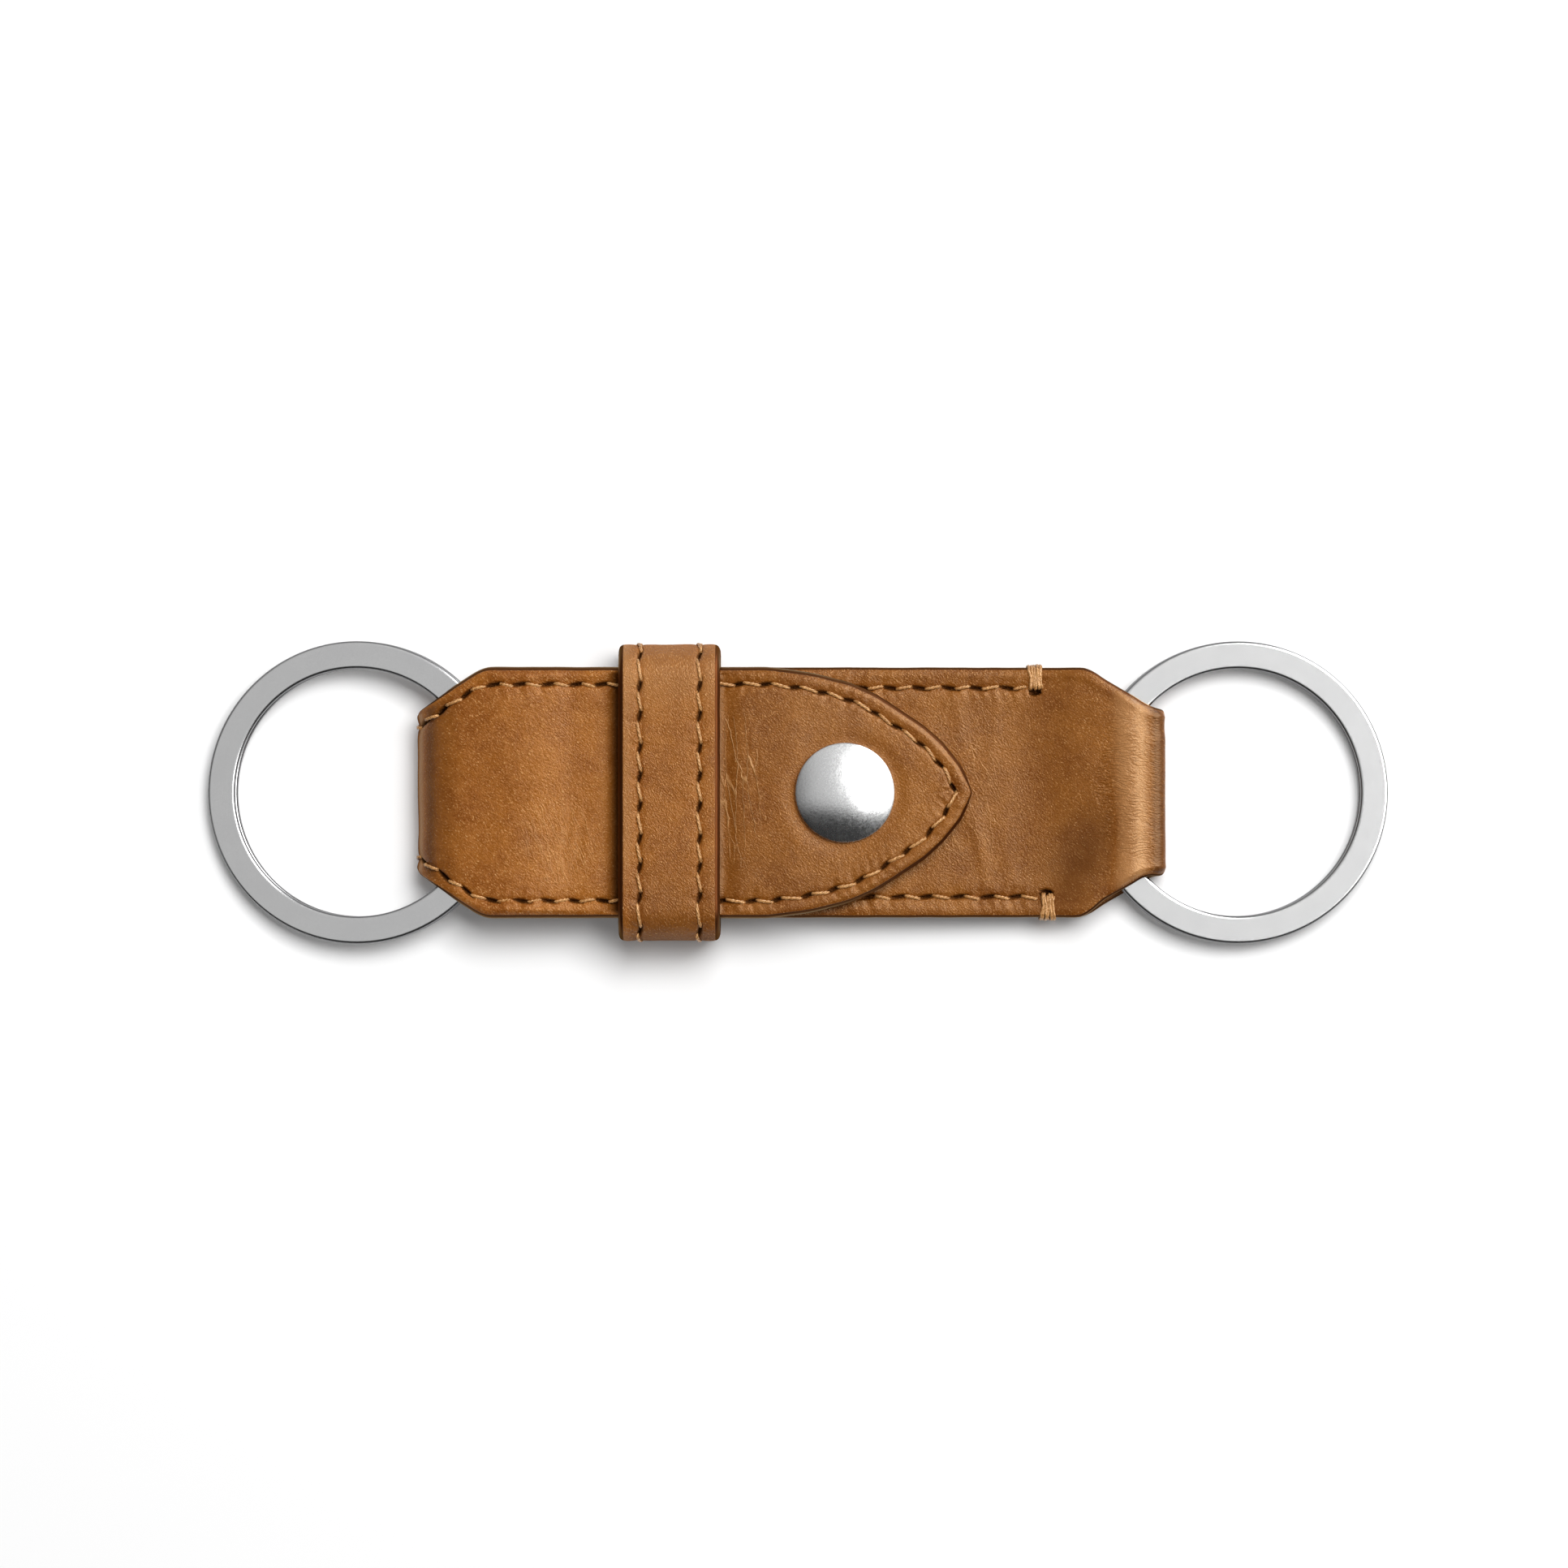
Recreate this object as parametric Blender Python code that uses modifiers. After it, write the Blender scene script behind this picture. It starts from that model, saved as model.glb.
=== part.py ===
# Valet key fob: a two-ply leather strap folded round a flat split ring at each end,
# with a pointed tongue that snaps down on the front and a loose leather keeper round it.
# Metres, +Z up, +X towards the snap end, +Y across the strap. z = 0 is the table it lies on.

import math

import bmesh
import bpy
from mathutils import Vector

# Leather plies and their glue lines
PLY = 0.0011
GLUE_GAP = 0.0003
EDGE_ROUND = 0.0003
STRAP_HALF = 0.0132
EDGE_LIMIT_SHARE = 0.33
SLIVER = 0.00003

# Split rings, each a flat band wound twice
RING_OUTER_R = 0.0160
RING_BAND = 0.0029
RING_TURN = 0.0009
RING_TURN_GAP = 0.00045
RING_CORNER = 0.00018
RING_CLEARANCE_LEFT = 0.0008
RING_CLEARANCE_RIGHT = 0.0005
RING_RAMP_ANGLE = math.radians(34)
RING_END_ANGLE = math.radians(3)
RING_FLOOR_GAP = 0.00015
RING_REACH_LEFT = 0.00956
RING_REACH_RIGHT = 0.00826

# Folds at the two ends, measured at their outermost leather
LEFT_FOLD_X = -0.0401
RIGHT_FOLD_X = 0.0388
FOLD_HALF = 0.0088
LEFT_SHOULDER = 0.0076
RIGHT_SHOULDER = 0.0086
LEFT_SHOULDER_SHARES = ((0, 0), (0.83, 0.90), (0.93, 0.975), (1, 1))
RIGHT_SHOULDER_SHARES = ((0, 0), (0.17, 0.07), (0.43, 0.37), (0.75, 0.72), (0.88, 0.90), (1, 1))

# Where the leaves come together beside a ring, and where they bend
HUMP_MARGIN = 0.0010
SPREAD_OUT = 0.0005
SPREAD_IN = 0.0055
BEND_SPACE_LEFT = 0.0029
BEND_SPACE_RIGHT = 0.0008
BEND_OVER = 0.00045
BEND_GAP = 0.0003
SOFT_BEND_R = 0.006
SLOPE_BEND_R = 0.030

# Keeper
KEEPER_X = -0.01348
KEEPER_WIDTH = 0.01065
KEEPER_PLY = 0.0008
KEEPER_GLUE_GAP = 0.00025
KEEPER_UNDER_GAP = 0.0003
KEEPER_TOP_GAP = 0.0006
KEEPER_SIDE_GAP = 0.0005
KEEPER_CORNER_R = 0.0020
KEEPER_TRAVEL_LEFT = 0.0045
LEVEL_MARGIN = 0.0007
PANEL_UNDER_KEEPER = 0.0012

# Tongue
TONGUE_TIP_X = 0.0183
TONGUE_POINT = 0.0213
TONGUE_TIP_HALF = 0.0005
TONGUE_OUTLINE_SHARES = (
    (0, 0), (0.05, 0.185), (0.141, 0.374), (0.235, 0.517), (0.359, 0.654),
    (0.48, 0.784), (0.605, 0.875), (0.79, 0.953), (1, 1),
)
KEEPER_TO_HINGE = 0.0026
HINGE_GAP = 0.0003
HINGE_OVER_FACE = 0.0002

# Stitching
THREAD_R = 0.00025
THREAD_CLEARANCE = 0.00014
THREAD_RISE = 0.00012
STITCH = 0.0030
GROOVE_DEPTH = 0.0006
KEEPER_GROOVE_DEPTH = 0.00045
GROOVE_HALF = 0.0007
STRAP_ROW_INSET = 0.0019
PANEL_ROW_INSET = 0.00215
TONGUE_ROW_INSET = 0.0018
KEEPER_ROW_INSET = 0.0022
ROW_END_MARGIN = 0.0009
TACK_UPPER_X = 0.0251
TACK_LOWER_X = 0.0264
TACK_HALF = 0.0009
TACK_THICK = 0.0005
TACK_CLEARANCE = 0.0002
TACK_CORNER_R = 0.0009

# Snap: cap and socket on the tongue, stud in the front panel
CAP_X = 0.0049
CAP_R = 0.00525
CAP_HEIGHT = 0.0018
CAP_WALL = 0.0004
SNAP_SEAT_GAP = 0.00015
SNAP_BORE_GAP = 0.0003
CAP_MARGIN = 0.00015
CAP_POST_R = 0.0011
CAP_POST_HEAD_R = 0.0040
CAP_POST_HEAD = 0.0003
CAP_POST_ROLL_R = 0.0017
CAP_POST_ROLL = 0.0003
SOCKET_R = 0.0043
SOCKET_WEB = 0.00035
SOCKET_WALL = 0.0006
SOCKET_LIP_R = 0.0027
SOCKET_LIP = 0.00025
SOCKET_INTO_PANEL = 0.0007
SOCKET_PANEL_GAP = 0.0006
SNAP_HOLE_GAP = 0.0004
SPRING_WIRE_R = 0.0002
SPRING_LIFT = 0.00018
SPRING_OPEN_ANGLE = math.radians(50)
STUD_FLANGE_R = 0.0041
STUD_FLANGE = 0.0003
STUD_NECK_R = 0.00135
STUD_BALL_R = 0.00185
STUD_TOP_GAP = 0.00025
STUD_BORE_R = 0.00085
STUD_CROWN = 0.00035
STUD_TOP_SHARE = 0.75
STUD_WIDEST_SHARE = 0.7
STUD_TUCK_SHARE = 0.96
STUD_TUCK_DROP_SHARE = 0.3
STUD_POST_R = 0.0006
STUD_POST_FLANGE_R = 0.0042
STUD_POST_FLANGE = 0.00045

# Facets
FOLD_STEPS = 12
LOOP_THREAD_SHARE = 0.667
KEEPER_THREAD_SKIP_STEPS = 2
DOME_STEPS = 6
SPRING_STEPS = 16
BISECTIONS = 30
CORNER_STEPS = 3
SMALL_CORNER_STEPS = 5
RING_STEPS = 44
TURNED_STEPS = 28
STITCH_POINTS = 3
CUT_OVERRUN = 0.004
LEAF_OVERRUN = 0.001
LEAST_STEP = 0.00014
HOLE_OVERRUN = 0.001
MERGE = 0.000001
MITRE_LIMIT_SHARE = 0.5
SMOOTH_ANGLE = math.radians(40)

LEATHER = (0.30, 0.115, 0.032, 1)
LINING = (0.26, 0.105, 0.035, 1)
THREAD = (0.42, 0.22, 0.075, 1)
STEEL = (0.62, 0.62, 0.62, 1)
POLISHED = (0.80, 0.80, 0.80, 1)
DULL_BRASS = (0.45, 0.42, 0.36, 1)
LEATHER_ROUGHNESS = 0.42
THREAD_ROUGHNESS = 0.6
STEEL_ROUGHNESS = 0.35
POLISHED_ROUGHNESS = 0.18
DULL_ROUGHNESS = 0.38

# Heights across the layers, counted from the glue line of the back
LAYER = PLY + GLUE_GAP
BACK_GLUE = PLY + GLUE_GAP / 2
PANEL_GLUE = LAYER
TONGUE_GLUE = 3 * LAYER
STACK_TOP = TONGUE_GLUE + BACK_GLUE
KEEPER_WRAP = 2 * KEEPER_PLY + KEEPER_GLUE_GAP
LEVEL = KEEPER_WRAP + KEEPER_UNDER_GAP + BACK_GLUE

# The spaces that hold the rings
RING_HEIGHT = 2 * RING_TURN + RING_TURN_GAP
LEFT_GLUE_R = RING_HEIGHT / 2 + RING_CLEARANCE_LEFT + BACK_GLUE
LEFT_OUTER_R = LEFT_GLUE_R + BACK_GLUE
RIGHT_GLUE_R = RING_HEIGHT / 2 + RING_CLEARANCE_RIGHT - GLUE_GAP / 2
RIGHT_OUTER_R = RIGHT_GLUE_R + BACK_GLUE
LEFT_CENTER = Vector((LEFT_FOLD_X + LEFT_OUTER_R, LEFT_OUTER_R))
RIGHT_CENTER = Vector((RIGHT_FOLD_X - RIGHT_OUTER_R, RIGHT_OUTER_R))
LEFT_DEEP_X = LEFT_FOLD_X + RING_REACH_LEFT
RIGHT_DEEP_X = RIGHT_FOLD_X - RING_REACH_RIGHT

# Places along the strap
KEEPER_LEFT = KEEPER_X - KEEPER_WIDTH / 2
KEEPER_RIGHT = KEEPER_X + KEEPER_WIDTH / 2
LEVEL_LEFT_X = KEEPER_LEFT - KEEPER_TRAVEL_LEFT - LEVEL_MARGIN
SLOPE_X = CAP_X - CAP_R - CAP_MARGIN
HINGE_X = KEEPER_RIGHT + KEEPER_TO_HINGE
BEND_LEFT_X = LEFT_DEEP_X + BEND_SPACE_LEFT
BEND_RIGHT_X = RIGHT_DEEP_X - BEND_SPACE_RIGHT


def turned(angle):
    return Vector((math.cos(angle), math.sin(angle)))


def tangent_angle(start, center, radius):
    # Direction of the line from start that passes just below a circle.
    away = center - start
    return math.atan2(away.y, away.x) - math.asin(radius / away.length)


def droop_angle(center, ring_x):
    # How far a ring that leaves its loop at center tips until its far edge is at the table.
    reach = abs(ring_x - center.x)
    drop = center.y - RING_HEIGHT / 2 - RING_FLOOR_GAP
    return math.asin(drop / reach)


SLOPE = -tangent_angle(Vector((SLOPE_X, LEVEL)), RIGHT_CENTER, RIGHT_GLUE_R)
RING_LEFT_FAR_X = LEFT_DEEP_X - 2 * RING_OUTER_R
RING_RIGHT_FAR_X = RIGHT_DEEP_X + 2 * RING_OUTER_R
DROOP_LEFT = droop_angle(LEFT_CENTER, RING_LEFT_FAR_X)
DROOP_RIGHT = droop_angle(RIGHT_CENTER, RING_RIGHT_FAR_X)
SLOPE_UP = Vector((math.sin(SLOPE), math.cos(SLOPE)))
DROOP_UP = Vector((-math.sin(DROOP_LEFT), math.cos(DROOP_LEFT)))


def on_slope(x, height):
    # A point of the tilted right part, height above the glue line of the back.
    fall = (x - SLOPE_X) * math.tan(SLOPE)
    return Vector((x, LEVEL - fall + height / math.cos(SLOPE)))


def on_droop(x, height):
    # A point of the drooping left loop, height above its middle plane.
    rise = (x - LEFT_CENTER.x) * math.tan(DROOP_LEFT)
    return Vector((x, LEFT_CENTER.y + rise + height / math.cos(DROOP_LEFT)))


def slope_corner(height):
    return Vector((SLOPE_X + height * math.tan(SLOPE / 2), LEVEL + height))


def softened(corners):
    # Each corner is (point, bend radius); a corner with a radius becomes an arc.
    points = []
    for i, (point, radius) in enumerate(corners):
        if not radius or i in (0, len(corners) - 1):
            points.append(point.copy())
            continue
        back = (corners[i - 1][0] - point).normalized()
        ahead = (corners[i + 1][0] - point).normalized()
        half_turn = math.pi / 2 - back.angle(ahead) / 2
        run = radius * math.tan(half_turn)
        start, end = point + back * run, point + ahead * run
        for k in range(CORNER_STEPS + 1):
            t = k / CORNER_STEPS
            points.append((1 - t) ** 2 * start + 2 * t * (1 - t) * point + t ** 2 * end)
    return points


def arc(center, radius, first, last, steps):
    return [center + radius * turned(first + (last - first) * k / steps) for k in range(steps + 1)]


def normals_of(points, closed=False):
    # The side on the right hand of travel, lengthened at a bend so that plies keep their thickness.
    count = len(points)
    found = []
    for i, point in enumerate(points):
        before = points[i - 1] if i or closed else None
        after = points[(i + 1) % count] if i < count - 1 or closed else None
        first = (point - before).normalized() if before is not None else (after - point).normalized()
        second = (after - point).normalized() if after is not None else first
        mean = (first + second).normalized()
        normal = Vector((mean.y, -mean.x))
        found.append(normal / max(mean.dot(first), MITRE_LIMIT_SHARE))
    return found


def cut_at(points, x, keep_after):
    # Drops the points of a path before (or after) the place where it crosses x.
    for i in range(len(points) - 1):
        a, b = points[i], points[i + 1]
        if (a.x - x) * (b.x - x) <= 0 and a.x != b.x:
            crossing = a.lerp(b, (x - a.x) / (b.x - a.x))
            kept = points[i + 1:] if keep_after else points[:i + 1]
            rest = [p for p in kept if abs(p.x - x) > LEAST_STEP]
            return [crossing] + rest if keep_after else rest + [crossing]
    return points


def from_shares(shares, share):
    for (a, low), (b, high) in zip(shares, shares[1:]):
        if share <= b:
            return low + (high - low) * max(share - a, 0) / (b - a)
    return shares[-1][1]


def strap_half(x):
    left = from_shares(LEFT_SHOULDER_SHARES, (x - LEFT_FOLD_X) / LEFT_SHOULDER)
    right = from_shares(RIGHT_SHOULDER_SHARES, (RIGHT_FOLD_X - x) / RIGHT_SHOULDER)
    return FOLD_HALF + (STRAP_HALF - FOLD_HALF) * min(left, right)


def tongue_half(x):
    share = from_shares(TONGUE_OUTLINE_SHARES, (TONGUE_TIP_X - x) / TONGUE_POINT)
    return TONGUE_TIP_HALF + (STRAP_HALF - TONGUE_TIP_HALF) * share


def tongue_steepness(x):
    step = TONGUE_ROW_INSET
    return (tongue_half(x - step) - tongue_half(x + step)) / (2 * step)


def tongue_row(x):
    # The row keeps its inset square to the outline, so it is steeper near the point.
    return tongue_half(x) - TONGUE_ROW_INSET * math.hypot(1, tongue_steepness(x))


def row_apex():
    # Where the two sides of the tongue's row meet, found by halving the stretch that holds it.
    near, far = TONGUE_TIP_X - TONGUE_POINT / 2, TONGUE_TIP_X
    for _ in range(BISECTIONS):
        middle = (near + far) / 2
        near, far = (middle, far) if tongue_row(middle) > 0 else (near, middle)
    return near


def straight_groove(row):
    return row, GROOVE_HALF, GROOVE_DEPTH


def section(half, low, high, groove):
    # Half of a ply's cross-section, from the middle of its outer face round to its inner face.
    edge = min(EDGE_ROUND, (high - low) * EDGE_LIMIT_SHARE, half / 2)
    side = [(half - edge, high), (half, high - edge), (half, low + edge), (half - edge, low)]
    if groove is None:
        return side
    row, width, depth = groove
    outer = min(row + width, half - edge - 2 * SLIVER)
    middle = min(max(row, 2 * SLIVER), outer - SLIVER)
    inner = min(max(row - width, SLIVER), middle - SLIVER)
    sunk = depth * max(1 - row / width, 0)
    return [(inner, high - sunk), (middle, high - depth), (outer, high)] + side


def add_object(name, mesh, collection, origin, tilt=0.0):
    obj = bpy.data.objects.new(name, mesh)
    collection.objects.link(obj)
    obj.location = origin
    obj.rotation_euler = (0, tilt, 0)
    return obj


def along_y(point, across):
    return Vector((point.x, across, point.y))


def along_x(point, across, middle):
    return Vector((middle + across, point.x, point.y))


def band(name, path, low, high, halves, grooves=None, closed=False, place=along_y, origin=(0, 0, 0)):
    # A leather ply: its cross-section carried along a path, which place turns into the ply's own plane.
    normals = normals_of(path, closed)
    if not grooves:
        grooves = [None] * len(path)
    mesh = bpy.data.meshes.new(name)
    bm = bmesh.new()
    rings = []
    for point, normal, half, groove in zip(path, normals, halves, grooves):
        side = section(half, low, high, groove)
        outline = side + [(-w, h) for w, h in reversed(side)]
        ring = []
        for w, h in outline:
            ring.append(bm.verts.new(place(point + normal * h, w) - Vector(origin)))
        rings.append(ring)
    pairs = list(zip(rings, rings[1:]))
    if closed:
        pairs.append((rings[-1], rings[0]))
    for a, b in pairs:
        for i in range(len(a)):
            j = (i + 1) % len(a)
            bm.faces.new((a[i], a[j], b[j], b[i]))
    if not closed:
        bm.faces.new(rings[0])
        bm.faces.new(rings[-1])
    bmesh.ops.recalc_face_normals(bm, faces=bm.faces)
    bm.to_mesh(mesh)
    bm.free()
    return add_object(name, mesh, parts, origin)


def material(obj, color, roughness, metallic):
    made = bpy.data.materials.new(obj.name)
    made.use_nodes = True
    shader = made.node_tree.nodes["Principled BSDF"]
    shader.inputs["Base Color"].default_value = color
    shader.inputs["Roughness"].default_value = roughness
    shader.inputs["Metallic"].default_value = metallic
    obj.data.materials.append(made)


def smooth(obj):
    obj.data.shade_smooth()
    obj.data.set_sharp_from_angle(angle=SMOOTH_ANGLE)


def ride_on(obj, parent):
    # The object keeps its place in the world and follows its joint's empty.
    obj.parent = parent
    obj.location = Vector(obj.location) - parent.location


def joint_empty(name, x, z, tilt=0.0):
    empty = bpy.data.objects.new(name, None)
    empty.empty_display_size = RING_BAND
    empty.location = (x, 0, z)
    empty.rotation_euler = (0, tilt, 0)
    parts.objects.link(empty)
    return empty


def as_cutter(obj):
    for holder in list(obj.users_collection):
        holder.objects.unlink(obj)
    cutters.objects.link(obj)
    obj.hide_render = True
    obj.display_type = "WIRE"
    return obj


def cylinder_cutter(name, radius, length, location, rotation):
    bpy.ops.mesh.primitive_cylinder_add(
        vertices=2 * TURNED_STEPS, radius=radius, depth=length, location=location, rotation=rotation
    )
    cutter = bpy.context.object
    cutter.name = name
    return as_cutter(cutter)


def block_cutter(name, low, high):
    size = [b - a for a, b in zip(low, high)]
    middle = [(a + b) / 2 for a, b in zip(low, high)]
    bpy.ops.mesh.primitive_cube_add(size=1, location=middle)
    cutter = bpy.context.object
    cutter.name = name
    cutter.scale = size
    bpy.ops.object.transform_apply(location=False, rotation=False, scale=True)
    return as_cutter(cutter)


def cut(obj, cutter):
    modifier = obj.modifiers.new(cutter.name, "BOOLEAN")
    modifier.operation = "DIFFERENCE"
    modifier.solver = "EXACT"
    modifier.object = cutter


def row_points(path, rows, side, height, place=along_y):
    # The line of a stitch row in its groove, with the way out of the leather at each point.
    line = []
    for point, normal, row in zip(path, normals_of(path), rows):
        start = place(point + normal * height, side * row)
        out = place(point + normal * (height + THREAD_R), side * row) - start
        line.append((start, out.normalized()))
    return line


def evenly(line, step_goal):
    # Splits a line of (point, way out) into equal steps near the wanted length.
    lengths = [(b[0] - a[0]).length for a, b in zip(line, line[1:])]
    total = sum(lengths)
    count = max(round(total / step_goal), 2)
    found = []
    for k in range(count + 1):
        left = total * k / count
        i = 0
        while i < len(lengths) - 1 and left > lengths[i]:
            left -= lengths[i]
            i += 1
        share = min(left / lengths[i], 1)
        (here, out), (there, out_there) = line[i], line[i + 1]
        found.append((here.lerp(there, share), out.lerp(out_there, share).normalized()))
    return found


def tube(name, points, radius, closed=False, origin=(0, 0, 0)):
    curve = bpy.data.curves.new(name, "CURVE")
    curve.dimensions = "3D"
    curve.bevel_depth = radius
    curve.bevel_resolution = 1
    curve.use_fill_caps = not closed
    spline = curve.splines.new("POLY")
    spline.points.add(len(points) - 1)
    for target, point in zip(spline.points, points):
        target.co = (*(point - Vector(origin)), 1)
    spline.use_cyclic_u = closed
    obj = bpy.data.objects.new(name, curve)
    parts.objects.link(obj)
    obj.location = origin
    return obj


def thread(name, line, origin=(0, 0, 0)):
    # Running stitches: the thread dips to the bottom of the groove at each needle hole.
    steps = evenly(line, STITCH / STITCH_POINTS)
    points = []
    for k, (point, out) in enumerate(steps):
        wave = math.sin(math.pi * (k % STITCH_POINTS) / STITCH_POINTS)
        points.append(point + out * THREAD_RISE * wave)
    obj = tube(name, points, THREAD_R, origin=origin)
    material(obj, THREAD, THREAD_ROUGHNESS, 0)
    return obj


def turned_piece(name, profile, origin, tilt=0.0, turn=2 * math.pi):
    # A profile of (radius, height) pairs, outer side top to bottom, turned round Z.
    mesh = bpy.data.meshes.new(name)
    count = len(profile)
    mesh.from_pydata([(r, 0, h) for r, h in profile], [(i, (i + 1) % count) for i in range(count)], [])
    obj = add_object(name, mesh, parts, origin, tilt)
    screw = obj.modifiers.new("Turn", "SCREW")
    screw.angle = turn
    screw.steps = screw.render_steps = TURNED_STEPS
    screw.use_merge_vertices = True
    screw.merge_threshold = MERGE
    screw.use_smooth_shade = True
    return obj


def solid_profile(name, profile, origin, tilt=0.0):
    # Like turned_piece, but the profile starts and ends on the axis and isn't closed.
    mesh = bpy.data.meshes.new(name)
    mesh.from_pydata([(r, 0, h) for r, h in profile], [(i, i + 1) for i in range(len(profile) - 1)], [])
    obj = add_object(name, mesh, parts, origin, tilt)
    screw = obj.modifiers.new("Turn", "SCREW")
    screw.steps = screw.render_steps = TURNED_STEPS
    screw.use_merge_vertices = True
    screw.merge_threshold = MERGE
    screw.use_smooth_shade = True
    return obj


for old in list(bpy.data.objects):
    bpy.data.objects.remove(old, do_unlink=True)
parts = bpy.data.collections.new("valet_key_fob")
cutters = bpy.data.collections.new("cutters")
bpy.context.scene.collection.children.link(parts)
bpy.context.scene.collection.children.link(cutters)

# Paths of the glue lines, each in the order in which the strap runs
level_front = Vector((LEVEL_LEFT_X, LEVEL + TONGUE_GLUE))
level_back = Vector((LEVEL_LEFT_X, LEVEL))
left_top = LEFT_CENTER + DROOP_UP * LEFT_GLUE_R
left_bottom = LEFT_CENTER - DROOP_UP * LEFT_GLUE_R
right_top = RIGHT_CENTER + SLOPE_UP * RIGHT_GLUE_R
right_bottom = RIGHT_CENTER - SLOPE_UP * RIGHT_GLUE_R
hump = on_droop(LEFT_DEEP_X + HUMP_MARGIN, LEFT_GLUE_R)
dip = on_droop(LEFT_DEEP_X, -LEFT_GLUE_R)
spread_top = on_slope(RIGHT_DEEP_X + SPREAD_OUT, 2 * RIGHT_GLUE_R)
spread_start = on_slope(RIGHT_DEEP_X - SPREAD_IN, PANEL_GLUE)
panel_end = Vector((KEEPER_LEFT - PANEL_UNDER_KEEPER, LEVEL + PANEL_GLUE))

tongue_line = softened([
    (on_slope(TONGUE_TIP_X, TONGUE_GLUE), 0),
    (slope_corner(TONGUE_GLUE), SLOPE_BEND_R),
    (level_front, 0),
])
front_line = softened([
    (Vector((HINGE_X, LEVEL + TONGUE_GLUE)), 0),
    (level_front, SOFT_BEND_R),
    (hump, SOFT_BEND_R),
    (left_top, 0),
])
left_arc = arc(
    LEFT_CENTER, LEFT_GLUE_R, math.pi / 2 + DROOP_LEFT, 3 * math.pi / 2 + DROOP_LEFT, FOLD_STEPS
)
back_line = softened([
    (left_bottom, 0),
    (dip, SOFT_BEND_R),
    (level_back, SOFT_BEND_R),
    (slope_corner(0), SLOPE_BEND_R),
    (right_bottom, 0),
])
right_arc = arc(RIGHT_CENTER, RIGHT_GLUE_R, -math.pi / 2 - SLOPE, math.pi / 2 - SLOPE, FOLD_STEPS)
panel_line = softened([
    (right_top, 0),
    (spread_top, SOFT_BEND_R),
    (spread_start, SOFT_BEND_R),
    (slope_corner(PANEL_GLUE), SLOPE_BEND_R),
    (panel_end, 0),
])


def height_at(points, x):
    for a, b in zip(points, points[1:]):
        if (a.x - x) * (b.x - x) <= 0 and a.x != b.x:
            return a.lerp(b, (x - a.x) / (b.x - a.x)).y
    return points[0].y


def bend_of(x, top, bottom):
    # Middle of the leaves at a bend line, and half of their height there.
    high = height_at(top, x) + BACK_GLUE
    low = height_at(bottom, x) - BACK_GLUE
    return (high + low) / 2, (high - low) / 2


BEND_LEFT_Z, LEFT_LEAVES = bend_of(BEND_LEFT_X, front_line, back_line)
BEND_RIGHT_Z, RIGHT_LEAVES = bend_of(BEND_RIGHT_X, panel_line, back_line)
BEND_LEFT_R = LEFT_LEAVES + BEND_OVER
BEND_RIGHT_R = RIGHT_LEAVES + BEND_OVER
HINGE_Z = LEVEL + STACK_TOP + HINGE_OVER_FACE
RING_LEFT_CENTER = on_droop(LEFT_DEEP_X - RING_OUTER_R, 0)
RING_RIGHT_X = RIGHT_DEEP_X + RING_OUTER_R
RING_RIGHT_Z = RIGHT_CENTER.y - (RING_RIGHT_X - RIGHT_CENTER.x) * math.tan(DROOP_RIGHT)

tongue_axis = joint_empty("tongue_axis", HINGE_X, HINGE_Z)
keeper_origin = joint_empty("keeper_origin", KEEPER_X, KEEPER_WRAP / 2)
left_axis = joint_empty("left_loop_axis", BEND_LEFT_X, BEND_LEFT_Z)
right_axis = joint_empty("right_loop_axis", BEND_RIGHT_X, BEND_RIGHT_Z)

# Bend cuts: round the bend line the strap is hollowed and the loop's leaves end on a slightly smaller round
strap_span = 2 * (STRAP_HALF + CUT_OVERRUN)
sideways = (math.pi / 2, 0, 0)


def bend_cutters(side, x, z, radius, outward):
    hollow = cylinder_cutter(f"cut_{side}_hollow", radius + BEND_GAP, strap_span, (x, 0, z), sideways)
    round_end = cylinder_cutter(f"cut_{side}_round", radius, strap_span + CUT_OVERRUN, (x, 0, z), sideways)
    reach = radius + 2 * CUT_OVERRUN
    near, far = (x, x + reach) if outward < 0 else (x - reach, x)
    block = block_cutter(
        f"cut_{side}_strap_side", (near, -strap_span / 2, z - reach), (far, strap_span / 2, z + reach)
    )
    cut(block, round_end)
    return hollow, block


left_hollow, left_block = bend_cutters("left", BEND_LEFT_X, BEND_LEFT_Z, BEND_LEFT_R, -1)
right_hollow, right_block = bend_cutters("right", BEND_RIGHT_X, BEND_RIGHT_Z, BEND_RIGHT_R, 1)


def outer_halves(path, lift):
    # Widths follow the outline seen from above, so they are read at the outermost leather.
    return [strap_half((p + n * lift).x) for p, n in zip(path, normals_of(path))]


def inset(halves, amount):
    return [half - amount for half in halves]


def leather(obj, color=LEATHER):
    material(obj, color, LEATHER_ROUGHNESS, 0)
    smooth(obj)
    return obj


# Left loop: two plies from the bend, round the ring and back
loop_overrun = BEND_LEFT_R + LEAF_OVERRUN
left_path = (
    cut_at(front_line, BEND_LEFT_X + loop_overrun, True)[:-1]
    + left_arc
    + cut_at(back_line, BEND_LEFT_X + loop_overrun, False)[1:]
)
left_halves = outer_halves(left_path, BACK_GLUE)
left_rows = inset(left_halves, STRAP_ROW_INSET)
left_grooves = [straight_groove(row) for row in left_rows]
left_outer = leather(band(
    "left_loop_outer", left_path, GLUE_GAP / 2, BACK_GLUE, left_halves, left_grooves,
    origin=left_axis.location
))
left_lining = leather(band(
    "left_loop_lining", left_path, -BACK_GLUE, -GLUE_GAP / 2, left_halves, origin=left_axis.location
), LINING)
for ply in (left_outer, left_lining):
    cut(ply, left_block)
    ride_on(ply, left_axis)

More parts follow.
